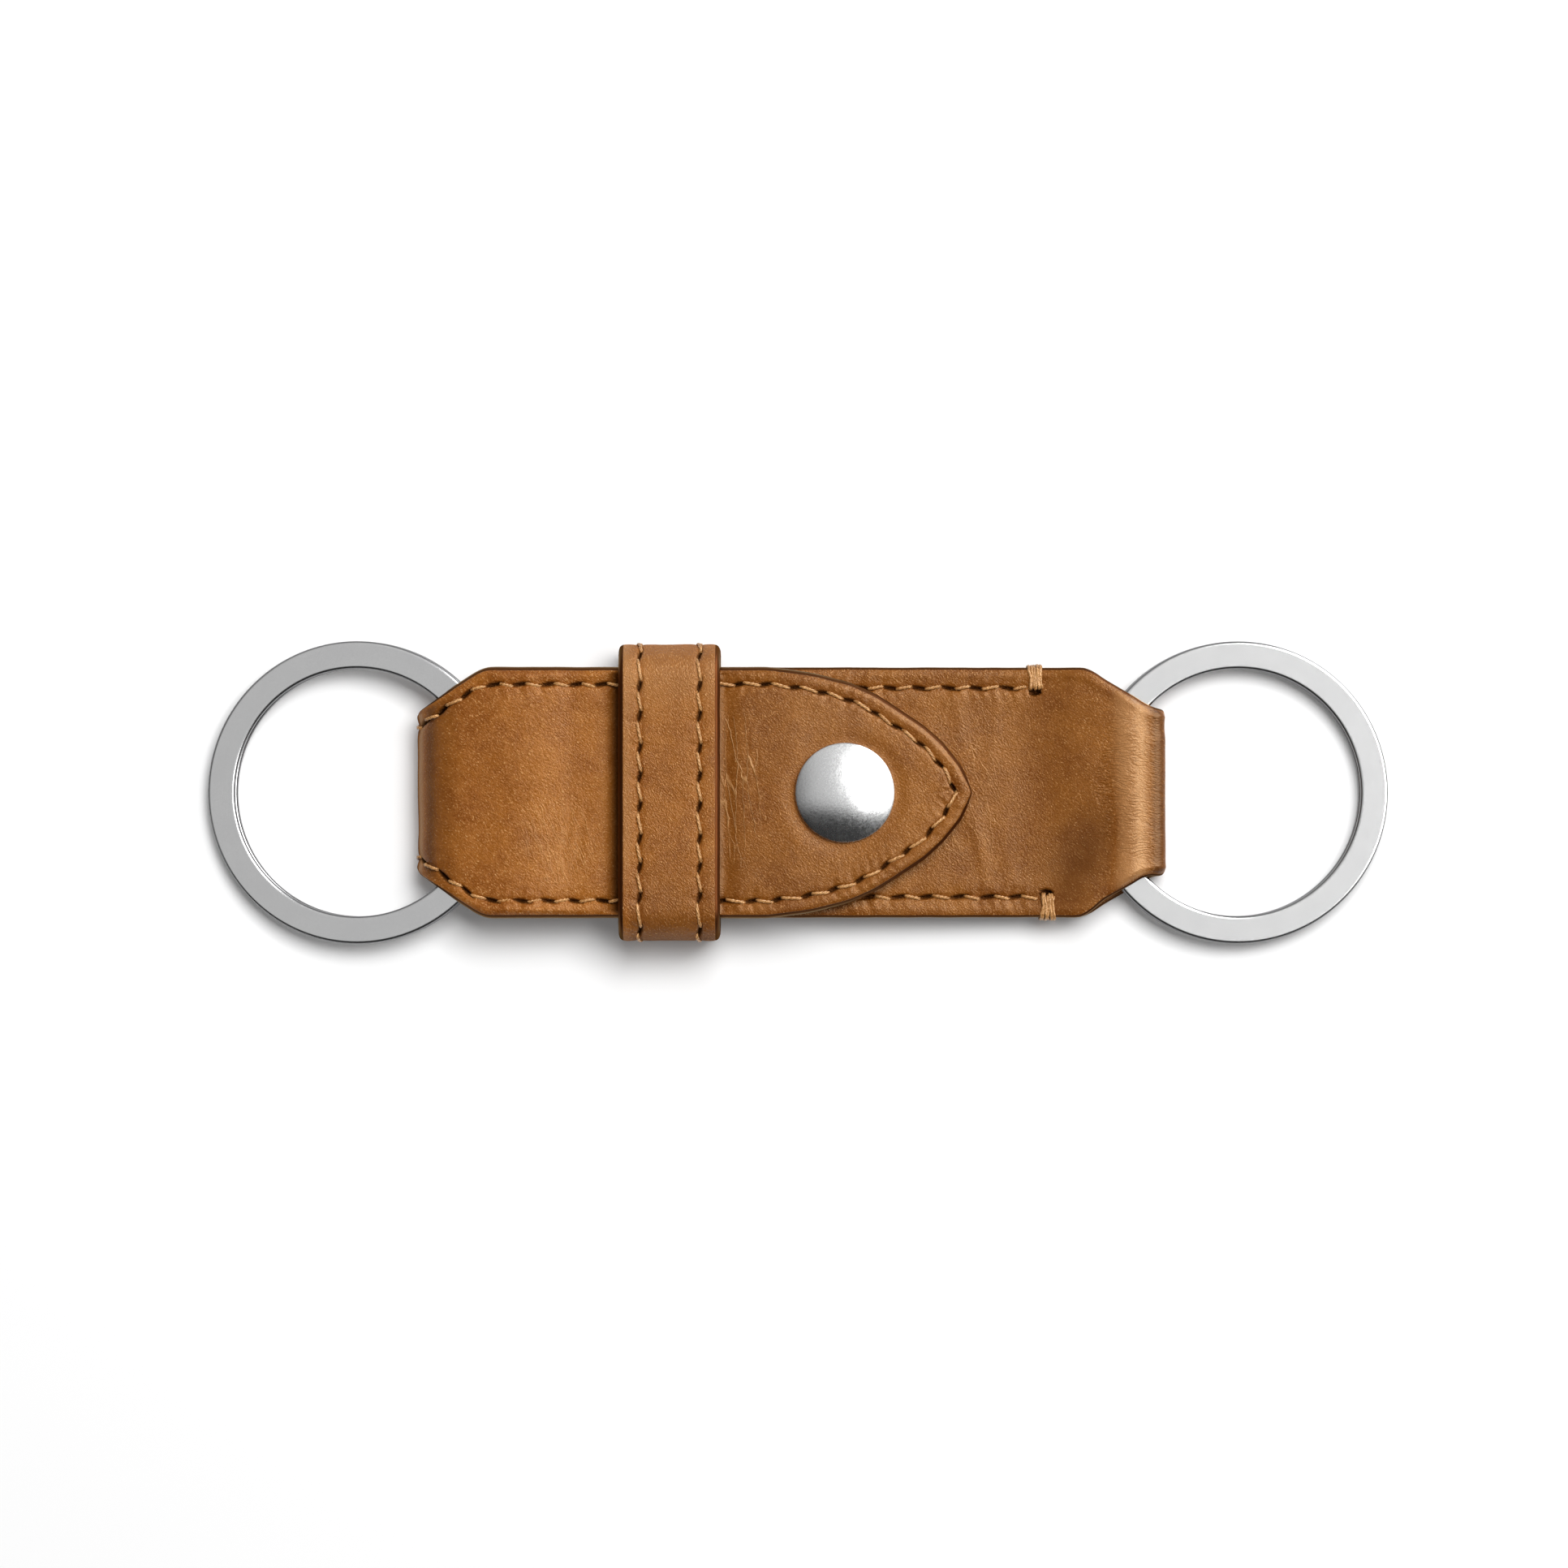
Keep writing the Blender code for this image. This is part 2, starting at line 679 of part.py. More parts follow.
# Front strap between the left bend and the tongue
front_path = cut_at(front_line, BEND_LEFT_X, False)
front_path[0] = Vector((HINGE_X - HINGE_GAP / 2, LEVEL + TONGUE_GLUE))
front_halves = [STRAP_HALF] * len(front_path)
front_rows = inset(front_halves, STRAP_ROW_INSET)
front_grooves = [straight_groove(row) for row in front_rows]
front_outer = leather(band("front_outer", front_path, GLUE_GAP / 2, BACK_GLUE, front_halves, front_grooves))
front_lining = leather(band("front_lining", front_path, -BACK_GLUE, -GLUE_GAP / 2, front_halves), LINING)
cut(front_outer, left_hollow)
cut(front_lining, left_hollow)

# Back strap between the two bends
back_path = cut_at(cut_at(back_line, BEND_LEFT_X, True), BEND_RIGHT_X, False)
back_halves = [STRAP_HALF] * len(back_path)
back_rows = inset(back_halves, STRAP_ROW_INSET)
back_grooves = [straight_groove(row) for row in back_rows]
back_outer = leather(band("back_outer", back_path, GLUE_GAP / 2, BACK_GLUE, back_halves, back_grooves))
back_lining = leather(band("back_lining", back_path, -BACK_GLUE, -GLUE_GAP / 2, back_halves), LINING)
for ply in (back_outer, back_lining):
    cut(ply, left_hollow)
    cut(ply, right_hollow)

# Right loop: the outer ply alone, round the ring
loop_overrun = BEND_RIGHT_R + LEAF_OVERRUN
right_path = (
    cut_at(back_line, BEND_RIGHT_X - loop_overrun, True)[:-1]
    + right_arc
    + cut_at(panel_line, BEND_RIGHT_X - loop_overrun, False)[1:]
)
right_halves = outer_halves(right_path, BACK_GLUE)
right_loop = leather(band(
    "right_loop_leather", right_path, GLUE_GAP / 2, BACK_GLUE, right_halves, origin=right_axis.location
))
cut(right_loop, right_block)
ride_on(right_loop, right_axis)

# Front panel, back over the strap to just past the keeper
panel_path = cut_at(panel_line, BEND_RIGHT_X, True)
panel_halves = [STRAP_HALF] * len(panel_path)
panel_rows = inset(panel_halves, PANEL_ROW_INSET)
panel_grooves = [straight_groove(row) for row in panel_rows]
front_panel = leather(band("front_panel", panel_path, GLUE_GAP / 2, BACK_GLUE, panel_halves, panel_grooves))
cut(front_panel, right_hollow)

# Tongue: two plies that follow the pointed outline
tongue_start = HINGE_X + HINGE_GAP / 2
apex_x = row_apex()
groove_end_x = apex_x + THREAD_R + THREAD_CLEARANCE
groove_closed_x = groove_end_x + GROOVE_DEPTH
tongue_xs = {tongue_start, apex_x, groove_end_x, groove_closed_x}
for (a, _), (b, _) in zip(TONGUE_OUTLINE_SHARES, TONGUE_OUTLINE_SHARES[1:]):
    tongue_xs |= {TONGUE_TIP_X - TONGUE_POINT * share for share in (a, (a + b) / 2, b)}
tongue_xs |= {p.x for p in tongue_line}
ordered_xs = []
for x in sorted(tongue_xs, reverse=True):
    if x >= tongue_start and (not ordered_xs or ordered_xs[-1] - x > LEAST_STEP):
        ordered_xs.append(x)
tongue_path = [Vector((x, height_at(tongue_line, x))) for x in ordered_xs]
tongue_halves = [tongue_half(x) for x in ordered_xs]
tongue_grooves = []
for x in ordered_xs:
    depth = GROOVE_DEPTH if x <= groove_end_x else 0
    tongue_grooves.append((max(tongue_row(x), 0), GROOVE_HALF * math.hypot(1, tongue_steepness(x)), depth))
tongue_outer = leather(band(
    "tongue_outer", tongue_path, GLUE_GAP / 2, BACK_GLUE, tongue_halves, tongue_grooves,
    origin=tongue_axis.location,
))
tongue_lining = leather(band(
    "tongue_lining", tongue_path, -BACK_GLUE, -GLUE_GAP / 2, tongue_halves, origin=tongue_axis.location
), LINING)
for ply in (tongue_outer, tongue_lining):
    ride_on(ply, tongue_axis)

# Keeper: two plies in a closed band round the strap, the tongue and the panel
keeper_glue = KEEPER_PLY + KEEPER_GLUE_GAP / 2
keeper_side = STRAP_HALF + KEEPER_SIDE_GAP + keeper_glue
keeper_high = LEVEL + STACK_TOP + KEEPER_TOP_GAP + keeper_glue
corner_y = keeper_side - KEEPER_CORNER_R
corner_low = keeper_glue + KEEPER_CORNER_R
corner_high = keeper_high - KEEPER_CORNER_R
keeper_path = []
for y, z, angle in (
    (corner_y, corner_low, -math.pi / 2),
    (corner_y, corner_high, 0),
    (-corner_y, corner_high, math.pi / 2),
    (-corner_y, corner_low, math.pi),
):
    keeper_path += arc(Vector((y, z)), KEEPER_CORNER_R, angle, angle + math.pi / 2, SMALL_CORNER_STEPS)
keeper_halves = [KEEPER_WIDTH / 2] * len(keeper_path)
keeper_rows = inset(keeper_halves, KEEPER_ROW_INSET)


def on_keeper(point, across):
    return along_x(point, across, KEEPER_X)


def keeper_ply(name, low, high, grooves, color):
    ply = leather(band(
        name, keeper_path, low, high, keeper_halves, grooves, closed=True, place=on_keeper,
        origin=keeper_origin.location,
    ), color)
    ride_on(ply, keeper_origin)
    return ply


keeper_grooves = [(row, GROOVE_HALF, KEEPER_GROOVE_DEPTH) for row in keeper_rows]
keeper_outer = keeper_ply("keeper_outer", KEEPER_GLUE_GAP / 2, keeper_glue, keeper_grooves, LEATHER)
keeper_lining = keeper_ply("keeper_lining", -keeper_glue, -KEEPER_GLUE_GAP / 2, None, LINING)


# Threads, each lying in the groove of its row
def thread_height(face, depth):
    # The middle of a thread that clears both walls of a groove under a face.
    lean = math.atan2(depth, GROOVE_HALF)
    return face - depth + (THREAD_R + THREAD_CLEARANCE) / math.cos(lean)


def span(radius, height):
    return math.sqrt(radius ** 2 - height ** 2)


strap_thread = thread_height(BACK_GLUE, GROOVE_DEPTH)
thread_proud = strap_thread + THREAD_R + THREAD_RISE - BACK_GLUE
loop_thread_x = BEND_LEFT_X + span(BEND_LEFT_R, LEFT_LEAVES + thread_proud) - THREAD_R
front_thread_x = BEND_LEFT_X + span(BEND_LEFT_R + BEND_GAP, LEFT_LEAVES - GROOVE_DEPTH) + ROW_END_MARGIN
fold_stretch = left_arc[:round(LOOP_THREAD_SHARE * FOLD_STEPS) + 1]
loop_thread_path = cut_at(front_line, loop_thread_x, True)[:-1] + fold_stretch
loop_thread_rows = inset(outer_halves(loop_thread_path, BACK_GLUE), STRAP_ROW_INSET)
front_thread_path = cut_at(front_path, front_thread_x, False)
front_thread_path[0] = Vector((HINGE_X - HINGE_GAP - THREAD_R, LEVEL + TONGUE_GLUE))
front_thread_rows = [STRAP_HALF - STRAP_ROW_INSET] * len(front_thread_path)


def panel_thread_path(tack_x):
    # The stretch of a row that the tongue leaves bare, up to its bar tack.
    bare = [x for x in ordered_xs if tongue_half(x) < STRAP_HALF - PANEL_ROW_INSET - ROW_END_MARGIN]
    stretch = cut_at(panel_line, tack_x - TACK_HALF - ROW_END_MARGIN / 2, True)
    return cut_at(stretch, min(bare) + THREAD_R, False)


for side, word, tack_x in ((1, "upper", TACK_UPPER_X), (-1, "lower", TACK_LOWER_X)):
    ride_on(thread(
        f"left_loop_thread_{word}", row_points(loop_thread_path, loop_thread_rows, side, strap_thread),
        left_axis.location,
    ), left_axis)
    thread(f"front_thread_{word}", row_points(front_thread_path, front_thread_rows, side, strap_thread))
    path = panel_thread_path(tack_x)
    thread(f"panel_thread_{word}", row_points(
        path, [STRAP_HALF - PANEL_ROW_INSET] * len(path), side, strap_thread
    ))
    path = cut_at(back_line, SLOPE_X + ROW_END_MARGIN, True)
    path = cut_at(path, tack_x - TACK_HALF - ROW_END_MARGIN, False)
    thread(f"back_thread_{word}", row_points(
        path, [STRAP_HALF - STRAP_ROW_INSET] * len(path), side, strap_thread
    ))

tongue_thread_xs = [x for x in ordered_xs if apex_x - THREAD_R > x > tongue_start + THREAD_R]
tongue_thread_xs = [apex_x] + tongue_thread_xs + [tongue_start + HINGE_GAP / 2 + THREAD_R]
tongue_thread_path = [Vector((x, height_at(tongue_line, x))) for x in tongue_thread_xs]
tongue_thread_rows = [0] + [tongue_row(x) for x in tongue_thread_xs[1:]]
one_side = row_points(tongue_thread_path, tongue_thread_rows, 1, strap_thread)
other_side = row_points(tongue_thread_path, tongue_thread_rows, -1, strap_thread)
ride_on(thread("tongue_thread", one_side[::-1] + other_side[1:], tongue_axis.location), tongue_axis)

keeper_thread_height = thread_height(keeper_glue, KEEPER_GROOVE_DEPTH)
shown = keeper_path[KEEPER_THREAD_SKIP_STEPS:len(keeper_path) - KEEPER_THREAD_SKIP_STEPS]
for side, word in ((-1, "left"), (1, "right")):
    line = row_points(
        shown, [KEEPER_WIDTH / 2 - KEEPER_ROW_INSET] * len(shown), side, keeper_thread_height, on_keeper
    )
    ride_on(thread(f"keeper_thread_{word}", line, keeper_origin.location), keeper_origin)


def bar_tack(name, side, x):
    # A tight bar of thread from the row over the edge of the panel and down the strap's side.
    near, far = x - TACK_HALF, x + TACK_HALF
    top = max(height_at(panel_line, near), height_at(panel_line, far)) + BACK_GLUE
    low = height_at(back_line, near) - BACK_GLUE + EDGE_ROUND
    line = softened([
        (Vector((STRAP_HALF, low)), 0),
        (Vector((STRAP_HALF, top)), TACK_CORNER_R),
        (Vector((STRAP_HALF - PANEL_ROW_INSET - TACK_HALF / 2, top)), 0),
    ])
    if side < 0:
        line = [Vector((-p.x, p.y)) for p in reversed(line)]
    tack = band(
        name, line, TACK_CLEARANCE, TACK_CLEARANCE + TACK_THICK, [TACK_HALF] * len(line),
        place=lambda point, across: along_x(point, across, x),
    )
    material(tack, THREAD, THREAD_ROUGHNESS, 0)
    smooth(tack)


bar_tack("bar_tack_upper", 1, TACK_UPPER_X)
bar_tack("bar_tack_lower", -1, TACK_LOWER_X)


# Split rings: one flat band, wound twice, with a ramp where it changes level
def ring_coil():
    radius = RING_OUTER_R - RING_BAND / 2
    pitch = RING_TURN + RING_TURN_GAP
    first, last = RING_END_ANGLE, 4 * math.pi - RING_RAMP_ANGLE - RING_END_ANGLE
    ramp_start, ramp_end = 2 * math.pi - RING_RAMP_ANGLE, 2 * math.pi
    count = round((last - first) / (2 * math.pi) * RING_STEPS)
    points = []
    for k in range(count + 1):
        angle = first + (last - first) * k / count
        share = min(max((angle - ramp_start) / (ramp_end - ramp_start), 0), 1)
        rise = pitch * (share * share * (3 - 2 * share) - 1 / 2)
        points.append(Vector((radius * math.cos(angle), radius * math.sin(angle), rise)))
    return points


def least_turn_gap(points):
    # Least distance between the two turns, the band's thickness taken off.
    ring = RING_STEPS - round(RING_STEPS * RING_RAMP_ANGLE / (2 * math.pi))
    least = min((a - b).length for i, a in enumerate(points) for b in points[i + ring:])
    return least - RING_TURN


coil = ring_coil()
print(f"split ring, least gap between its turns: {least_turn_gap(coil) * 1000:.2f} mm")

ring_section = bpy.data.curves.new("ring_section", "CURVE")
ring_section.dimensions = "2D"
section_spline = ring_section.splines.new("POLY")
half_band, half_turn = RING_BAND / 2, RING_TURN / 2
corners = []
for sx, sy in ((1, 1), (1, -1), (-1, -1), (-1, 1)):
    pair = [
        (sx * half_band, sy * (half_turn - RING_CORNER)),
        (sx * (half_band - RING_CORNER), sy * half_turn),
    ]
    corners += pair[::-1] if sx * sy > 0 else pair
section_spline.points.add(len(corners) - 1)
for target, (x, y) in zip(section_spline.points, corners):
    target.co = (x, y, 0, 1)
section_spline.use_cyclic_u = True
section_guide = bpy.data.objects.new("ring_section", ring_section)
as_cutter(section_guide)


def split_ring(name, center, tilt, parent, turn):
    curve = bpy.data.curves.new(name, "CURVE")
    curve.dimensions = "3D"
    curve.bevel_mode = "OBJECT"
    curve.bevel_object = section_guide
    curve.use_fill_caps = True
    curve.twist_mode = "Z_UP"
    spline = curve.splines.new("POLY")
    spline.points.add(len(coil) - 1)
    for target, point in zip(spline.points, coil):
        x = point.x * math.cos(turn) - point.y * math.sin(turn)
        y = point.x * math.sin(turn) + point.y * math.cos(turn)
        target.co = (x, y, point.z, 1)
    obj = bpy.data.objects.new(name, curve)
    parts.objects.link(obj)
    obj.location = center
    obj.rotation_euler = (0, tilt, 0)
    ride_on(obj, parent)
    material(obj, STEEL, STEEL_ROUGHNESS, 1)
    return obj


ramp_hidden = RING_RAMP_ANGLE / 2
split_ring(
    "ring_left", (RING_LEFT_CENTER.x, 0, RING_LEFT_CENTER.y), -DROOP_LEFT, left_axis, ramp_hidden
)
split_ring(
    "ring_right", (RING_RIGHT_X, 0, RING_RIGHT_Z), DROOP_RIGHT, right_axis, math.pi + ramp_hidden
)

# Snap, on an axis square to the sloping layers; heights are counted from the back's glue line
snap_top = on_slope(CAP_X, STACK_TOP)
snap_foot = snap_top - SLOPE_UP * STACK_TOP
snap_origin = (snap_foot.x, 0, snap_foot.y)
panel_face = PANEL_GLUE + BACK_GLUE
tongue_under = TONGUE_GLUE - BACK_GLUE
tongue_outer_under = TONGUE_GLUE + GLUE_GAP / 2
cap_low = STACK_TOP + SNAP_SEAT_GAP
cap_rim = cap_low + CAP_WALL
cap_high = STACK_TOP + CAP_HEIGHT
post_head_top = cap_low + CAP_POST_HEAD
web_top = tongue_outer_under - SNAP_SEAT_GAP
web_low = web_top - SOCKET_WEB
roll_top = web_low - SNAP_SEAT_GAP
roll_low = roll_top - CAP_POST_ROLL
socket_low = panel_face - SOCKET_INTO_PANEL
lip_top = socket_low + SOCKET_LIP
stud_low = BACK_GLUE + SNAP_SEAT_GAP
stud_flange_top = stud_low + STUD_FLANGE
stud_top = roll_low - STUD_TOP_GAP
spring_height = lip_top + SPRING_LIFT + SPRING_WIRE_R
spring_r = STUD_NECK_R + SPRING_WIRE_R + SNAP_BORE_GAP
ball_height = stud_top - STUD_CROWN * STUD_WIDEST_SHARE
back_flange_top = -BACK_GLUE - SNAP_SEAT_GAP
back_flange_low = back_flange_top - STUD_POST_FLANGE
stud_bore_top = stud_top - STUD_CROWN - SNAP_SEAT_GAP


def dome(radius, base, top, steps):
    found = []
    for k in range(steps + 1):
        angle = math.pi / 2 * k / steps
        found.append((radius * math.sin(angle), base + (top - base) * math.cos(angle)))
    return found


cap_inner = dome(CAP_R - CAP_WALL, cap_rim, cap_high - CAP_WALL, DOME_STEPS)
cap_profile = dome(CAP_R, cap_rim, cap_high, DOME_STEPS) + [
    (CAP_R - EDGE_ROUND / 2, cap_low),
    (CAP_R - CAP_WALL, cap_low),
] + cap_inner[::-1]
snap_cap = solid_profile("snap_cap", cap_profile, snap_origin, SLOPE)
snap_cap_post = solid_profile("snap_cap_post", [
    (0, post_head_top),
    (CAP_POST_HEAD_R, post_head_top),
    (CAP_POST_HEAD_R, cap_low),
    (CAP_POST_R, cap_low),
    (CAP_POST_R, roll_top),
    (CAP_POST_ROLL_R, roll_top),
    (CAP_POST_ROLL_R, roll_low),
    (0, roll_low),
], snap_origin, SLOPE)
socket_hole = CAP_POST_R + SNAP_BORE_GAP
snap_socket = turned_piece("snap_socket", [
    (SOCKET_R - EDGE_ROUND, web_top),
    (SOCKET_R, web_top - EDGE_ROUND),
    (SOCKET_R, socket_low + EDGE_ROUND / 2),
    (SOCKET_R - EDGE_ROUND / 2, socket_low),
    (SOCKET_LIP_R, socket_low),
    (SOCKET_LIP_R, lip_top),
    (SOCKET_R - SOCKET_WALL, lip_top),
    (SOCKET_R - SOCKET_WALL, web_low),
    (socket_hole, web_low),
    (socket_hole, web_top),
], snap_origin, SLOPE)
snap_stud = solid_profile("snap_stud", [
    (0, stud_top),
    (STUD_BALL_R * STUD_TOP_SHARE, stud_top),
    (STUD_BALL_R, ball_height),
    (STUD_BALL_R * STUD_TUCK_SHARE, ball_height - STUD_CROWN * STUD_TUCK_DROP_SHARE),
    (STUD_NECK_R, spring_height + SPRING_WIRE_R / 2),
    (STUD_NECK_R, stud_flange_top),
    (STUD_FLANGE_R, stud_flange_top),
    (STUD_FLANGE_R, stud_low),
    (STUD_BORE_R, stud_low),
    (STUD_BORE_R, stud_bore_top),
    (0, stud_bore_top),
], snap_origin, SLOPE)
snap_stud_post = solid_profile("snap_stud_post", [
    (0, stud_bore_top - SNAP_BORE_GAP),
    (STUD_POST_R, stud_bore_top - SNAP_BORE_GAP),
    (STUD_POST_R, back_flange_top),
    (STUD_POST_FLANGE_R, back_flange_top),
    (STUD_POST_FLANGE_R, back_flange_top - STUD_POST_FLANGE / 2),
    (STUD_POST_FLANGE_R - STUD_POST_FLANGE / 2, back_flange_low),
    (0, back_flange_low),
], snap_origin, SLOPE)
spring_points = []
for k in range(SPRING_STEPS + 1):
    angle = SPRING_OPEN_ANGLE / 2 + (2 * math.pi - SPRING_OPEN_ANGLE) * k / SPRING_STEPS
    spring_points.append(Vector((*(spring_r * turned(angle)), spring_height)))
snap_spring = tube("snap_spring", spring_points, SPRING_WIRE_R)
snap_spring.location = snap_origin
snap_spring.rotation_euler = (0, SLOPE, 0)
for piece, color, roughness in (
    (snap_cap, POLISHED, POLISHED_ROUGHNESS),
    (snap_cap_post, DULL_BRASS, DULL_ROUGHNESS),
    (snap_socket, DULL_BRASS, DULL_ROUGHNESS),
    (snap_stud, DULL_BRASS, DULL_ROUGHNESS),
    (snap_stud_post, POLISHED, POLISHED_ROUGHNESS),
    (snap_spring, STEEL, STEEL_ROUGHNESS),
):
    material(piece, color, roughness, 1)
for piece in (snap_cap, snap_cap_post, snap_socket, snap_spring):
    ride_on(piece, tongue_axis)


def snap_hole(name, radius, low, high, plies):
    middle = snap_foot + SLOPE_UP * (low + high) / 2
    place = (middle.x, 0, middle.y)
    cutter = cylinder_cutter(name, radius, high - low + HOLE_OVERRUN, place, (0, SLOPE, 0))
    for ply in plies:
        cut(ply, cutter)


snap_hole("cut_post_hole", CAP_POST_R + SNAP_HOLE_GAP, tongue_outer_under, STACK_TOP, [tongue_outer])
snap_hole("cut_socket_hole", SOCKET_R + SNAP_HOLE_GAP, tongue_under, tongue_outer_under, [tongue_lining])
snap_hole("cut_panel_hole", SOCKET_R + SOCKET_PANEL_GAP, BACK_GLUE, panel_face, [front_panel])
snap_hole("cut_stud_hole", STUD_POST_R + SNAP_HOLE_GAP, -BACK_GLUE, BACK_GLUE, [back_outer, back_lining])
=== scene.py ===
import math
import random
import bmesh
import bpy
import numpy as np
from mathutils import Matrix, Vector, noise


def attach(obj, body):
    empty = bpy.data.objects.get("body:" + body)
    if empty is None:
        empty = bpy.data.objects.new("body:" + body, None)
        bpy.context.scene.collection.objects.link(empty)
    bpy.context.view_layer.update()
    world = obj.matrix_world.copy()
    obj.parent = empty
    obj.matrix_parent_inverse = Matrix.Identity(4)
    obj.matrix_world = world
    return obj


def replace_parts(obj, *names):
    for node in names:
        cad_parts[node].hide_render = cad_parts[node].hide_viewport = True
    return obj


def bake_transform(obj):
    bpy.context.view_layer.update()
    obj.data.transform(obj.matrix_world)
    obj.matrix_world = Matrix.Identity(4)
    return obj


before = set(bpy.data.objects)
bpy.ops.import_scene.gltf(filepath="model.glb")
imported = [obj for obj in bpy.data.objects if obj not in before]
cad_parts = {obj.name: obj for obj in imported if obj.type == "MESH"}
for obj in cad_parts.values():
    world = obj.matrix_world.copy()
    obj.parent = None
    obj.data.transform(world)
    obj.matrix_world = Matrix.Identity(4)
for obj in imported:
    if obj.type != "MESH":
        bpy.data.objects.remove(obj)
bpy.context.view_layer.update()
scene = bpy.context.scene
mm = 0.001
halfPi, fullTurn = math.pi / 2, 2 * math.pi


# Camera: straight above, a touch left of and above the middle of the fob; width is what it sees at the fob
view = {"x": -1.46, "y": 0.9, "height": 603.0, "fobHeight": 3.0, "width": 166.0, "sensor": 36}
camera = bpy.data.cameras.new("camera")
camera.sensor_width = view["sensor"]
camera.lens = view["sensor"] * (view["height"] - view["fobHeight"]) / view["width"]
camera.clip_start, camera.clip_end = 0.01, 20
cameraObject = bpy.data.objects.new("camera", camera)
cameraObject.location = (view["x"] * mm, view["y"] * mm, view["height"] * mm)
scene.collection.objects.link(cameraObject)
scene.camera = cameraObject
scene.view_settings.view_transform = "Standard"


class Socket:
    # A node's output that can be used in plain sums
    def __init__(self, paint, out):
        self.paint, self.out = paint, out

    def calc(self, operation, first, second):
        return self.paint.node("ShaderNodeMath", {"operation": operation}, {0: first, 1: second})

    def __add__(self, other): return self.calc("ADD", self, other)
    def __radd__(self, other): return self.calc("ADD", other, self)
    def __sub__(self, other): return self.calc("SUBTRACT", self, other)
    def __rsub__(self, other): return self.calc("SUBTRACT", other, self)
    def __mul__(self, other): return self.calc("MULTIPLY", self, other)
    def __rmul__(self, other): return self.calc("MULTIPLY", other, self)
    def __truediv__(self, other): return self.calc("DIVIDE", self, other)
    def __rtruediv__(self, other): return self.calc("DIVIDE", other, self)
    def __pow__(self, other): return self.calc("POWER", self, other)
    def __rpow__(self, other): return self.calc("POWER", other, self)
    def __neg__(self): return self * -1.0

    def atMost(self, other): return self.calc("MINIMUM", self, other)
    def atLeast(self, other): return self.calc("MAXIMUM", self, other)
    def clamped(self): return self.atLeast(0.0).atMost(1.0)

    def ramp(self, low, high, start=0.0, end=1.0):
        return self.paint.node(
            "ShaderNodeMapRange", {"interpolation_type": "SMOOTHSTEP"},
            {"Value": self, "From Min": low, "From Max": high, "To Min": start, "To Max": end})

    def choose(self, offColour, onColour):
        return self.paint.node(
            "ShaderNodeMix", {"data_type": "RGBA"}, {0: self, 6: offColour, 7: onColour}, take=2)

    def times(self, vector):
        return self.paint.node("ShaderNodeVectorMath", {"operation": "MULTIPLY"}, {0: self, 1: vector})

    def split(self):
        made = self.paint.node("ShaderNodeSeparateXYZ", {}, {0: self}).out.node
        return [Socket(self.paint, out) for out in made.outputs]


class Paint:
    # One node tree and its shader: a material's, or the world's
    def __init__(self, tree, shader):
        self.tree, self.shader = tree, tree.nodes[shader]

    def node(self, kind, settings, sockets, take=0):
        made = self.tree.nodes.new(kind)
        for name, value in settings.items():
            setattr(made, name, value)
        for name, value in sockets.items():
            self.feed(made.inputs[name], value)
        return Socket(self, made.outputs[take])

    def feed(self, target, value):
        if isinstance(value, Socket):
            self.tree.links.new(value.out, target)
        else:
            target.default_value = value

    def finish(self, **sockets):
        # Sets or links sockets of the shader itself, such as Base_Color
        for name, value in sockets.items():
            self.feed(self.shader.inputs[name.replace("_", " ")], value)

    def noise(self, vector, scale, detail=2.0, roughness=0.5):
        return self.node("ShaderNodeTexNoise", {}, {
            "Vector": vector, "Scale": scale, "Detail": detail, "Roughness": roughness})

    def cells(self, vector, scale, feature="F1"):
        return self.node("ShaderNodeTexVoronoi", {"feature": feature}, {"Vector": vector, "Scale": scale})

    def bump(self, height, strength, distance):
        return self.node("ShaderNodeBump", {}, {"Height": height, "Strength": strength, "Distance": distance})

    def attribute(self, name, take="Fac"):
        return self.node("ShaderNodeAttribute", {"attribute_name": name}, {}, take=take)

    def coordinate(self, kind):
        return self.node("ShaderNodeTexCoord", {}, {}, take=kind)

    def inMillimetres(self):
        return self.coordinate("Object").times((1000.0, 1000.0, 1000.0))

    def ray(self, kind):
        return self.node("ShaderNodeLightPath", {}, {}, take=f"Is {kind} Ray")


def newMaterial(name, **surface):
    material = bpy.data.materials.new(name)
    material.use_nodes = True
    paint = Paint(material.node_tree, "Principled BSDF")
    paint.finish(**surface)
    return material, paint


# Lamp: soft, a little towards the top of the picture; it makes the shadows and doesn't show in the metal
key = {"place": (0.19, 0.30, 0.92), "size": (0.54, 0.47), "power": 11.0}
lamp = bpy.data.lights.new("key", "AREA")
lamp.shape = "RECTANGLE"
lamp.size, lamp.size_y = key["size"]
lamp.energy = key["power"]
lampObject = bpy.data.objects.new("key", lamp)
lampObject.location = key["place"]
lampObject.rotation_euler = Vector(key["place"]).to_track_quat("Z", "Y").to_euler()
lampObject.visible_glossy = False
scene.collection.objects.link(lampObject)

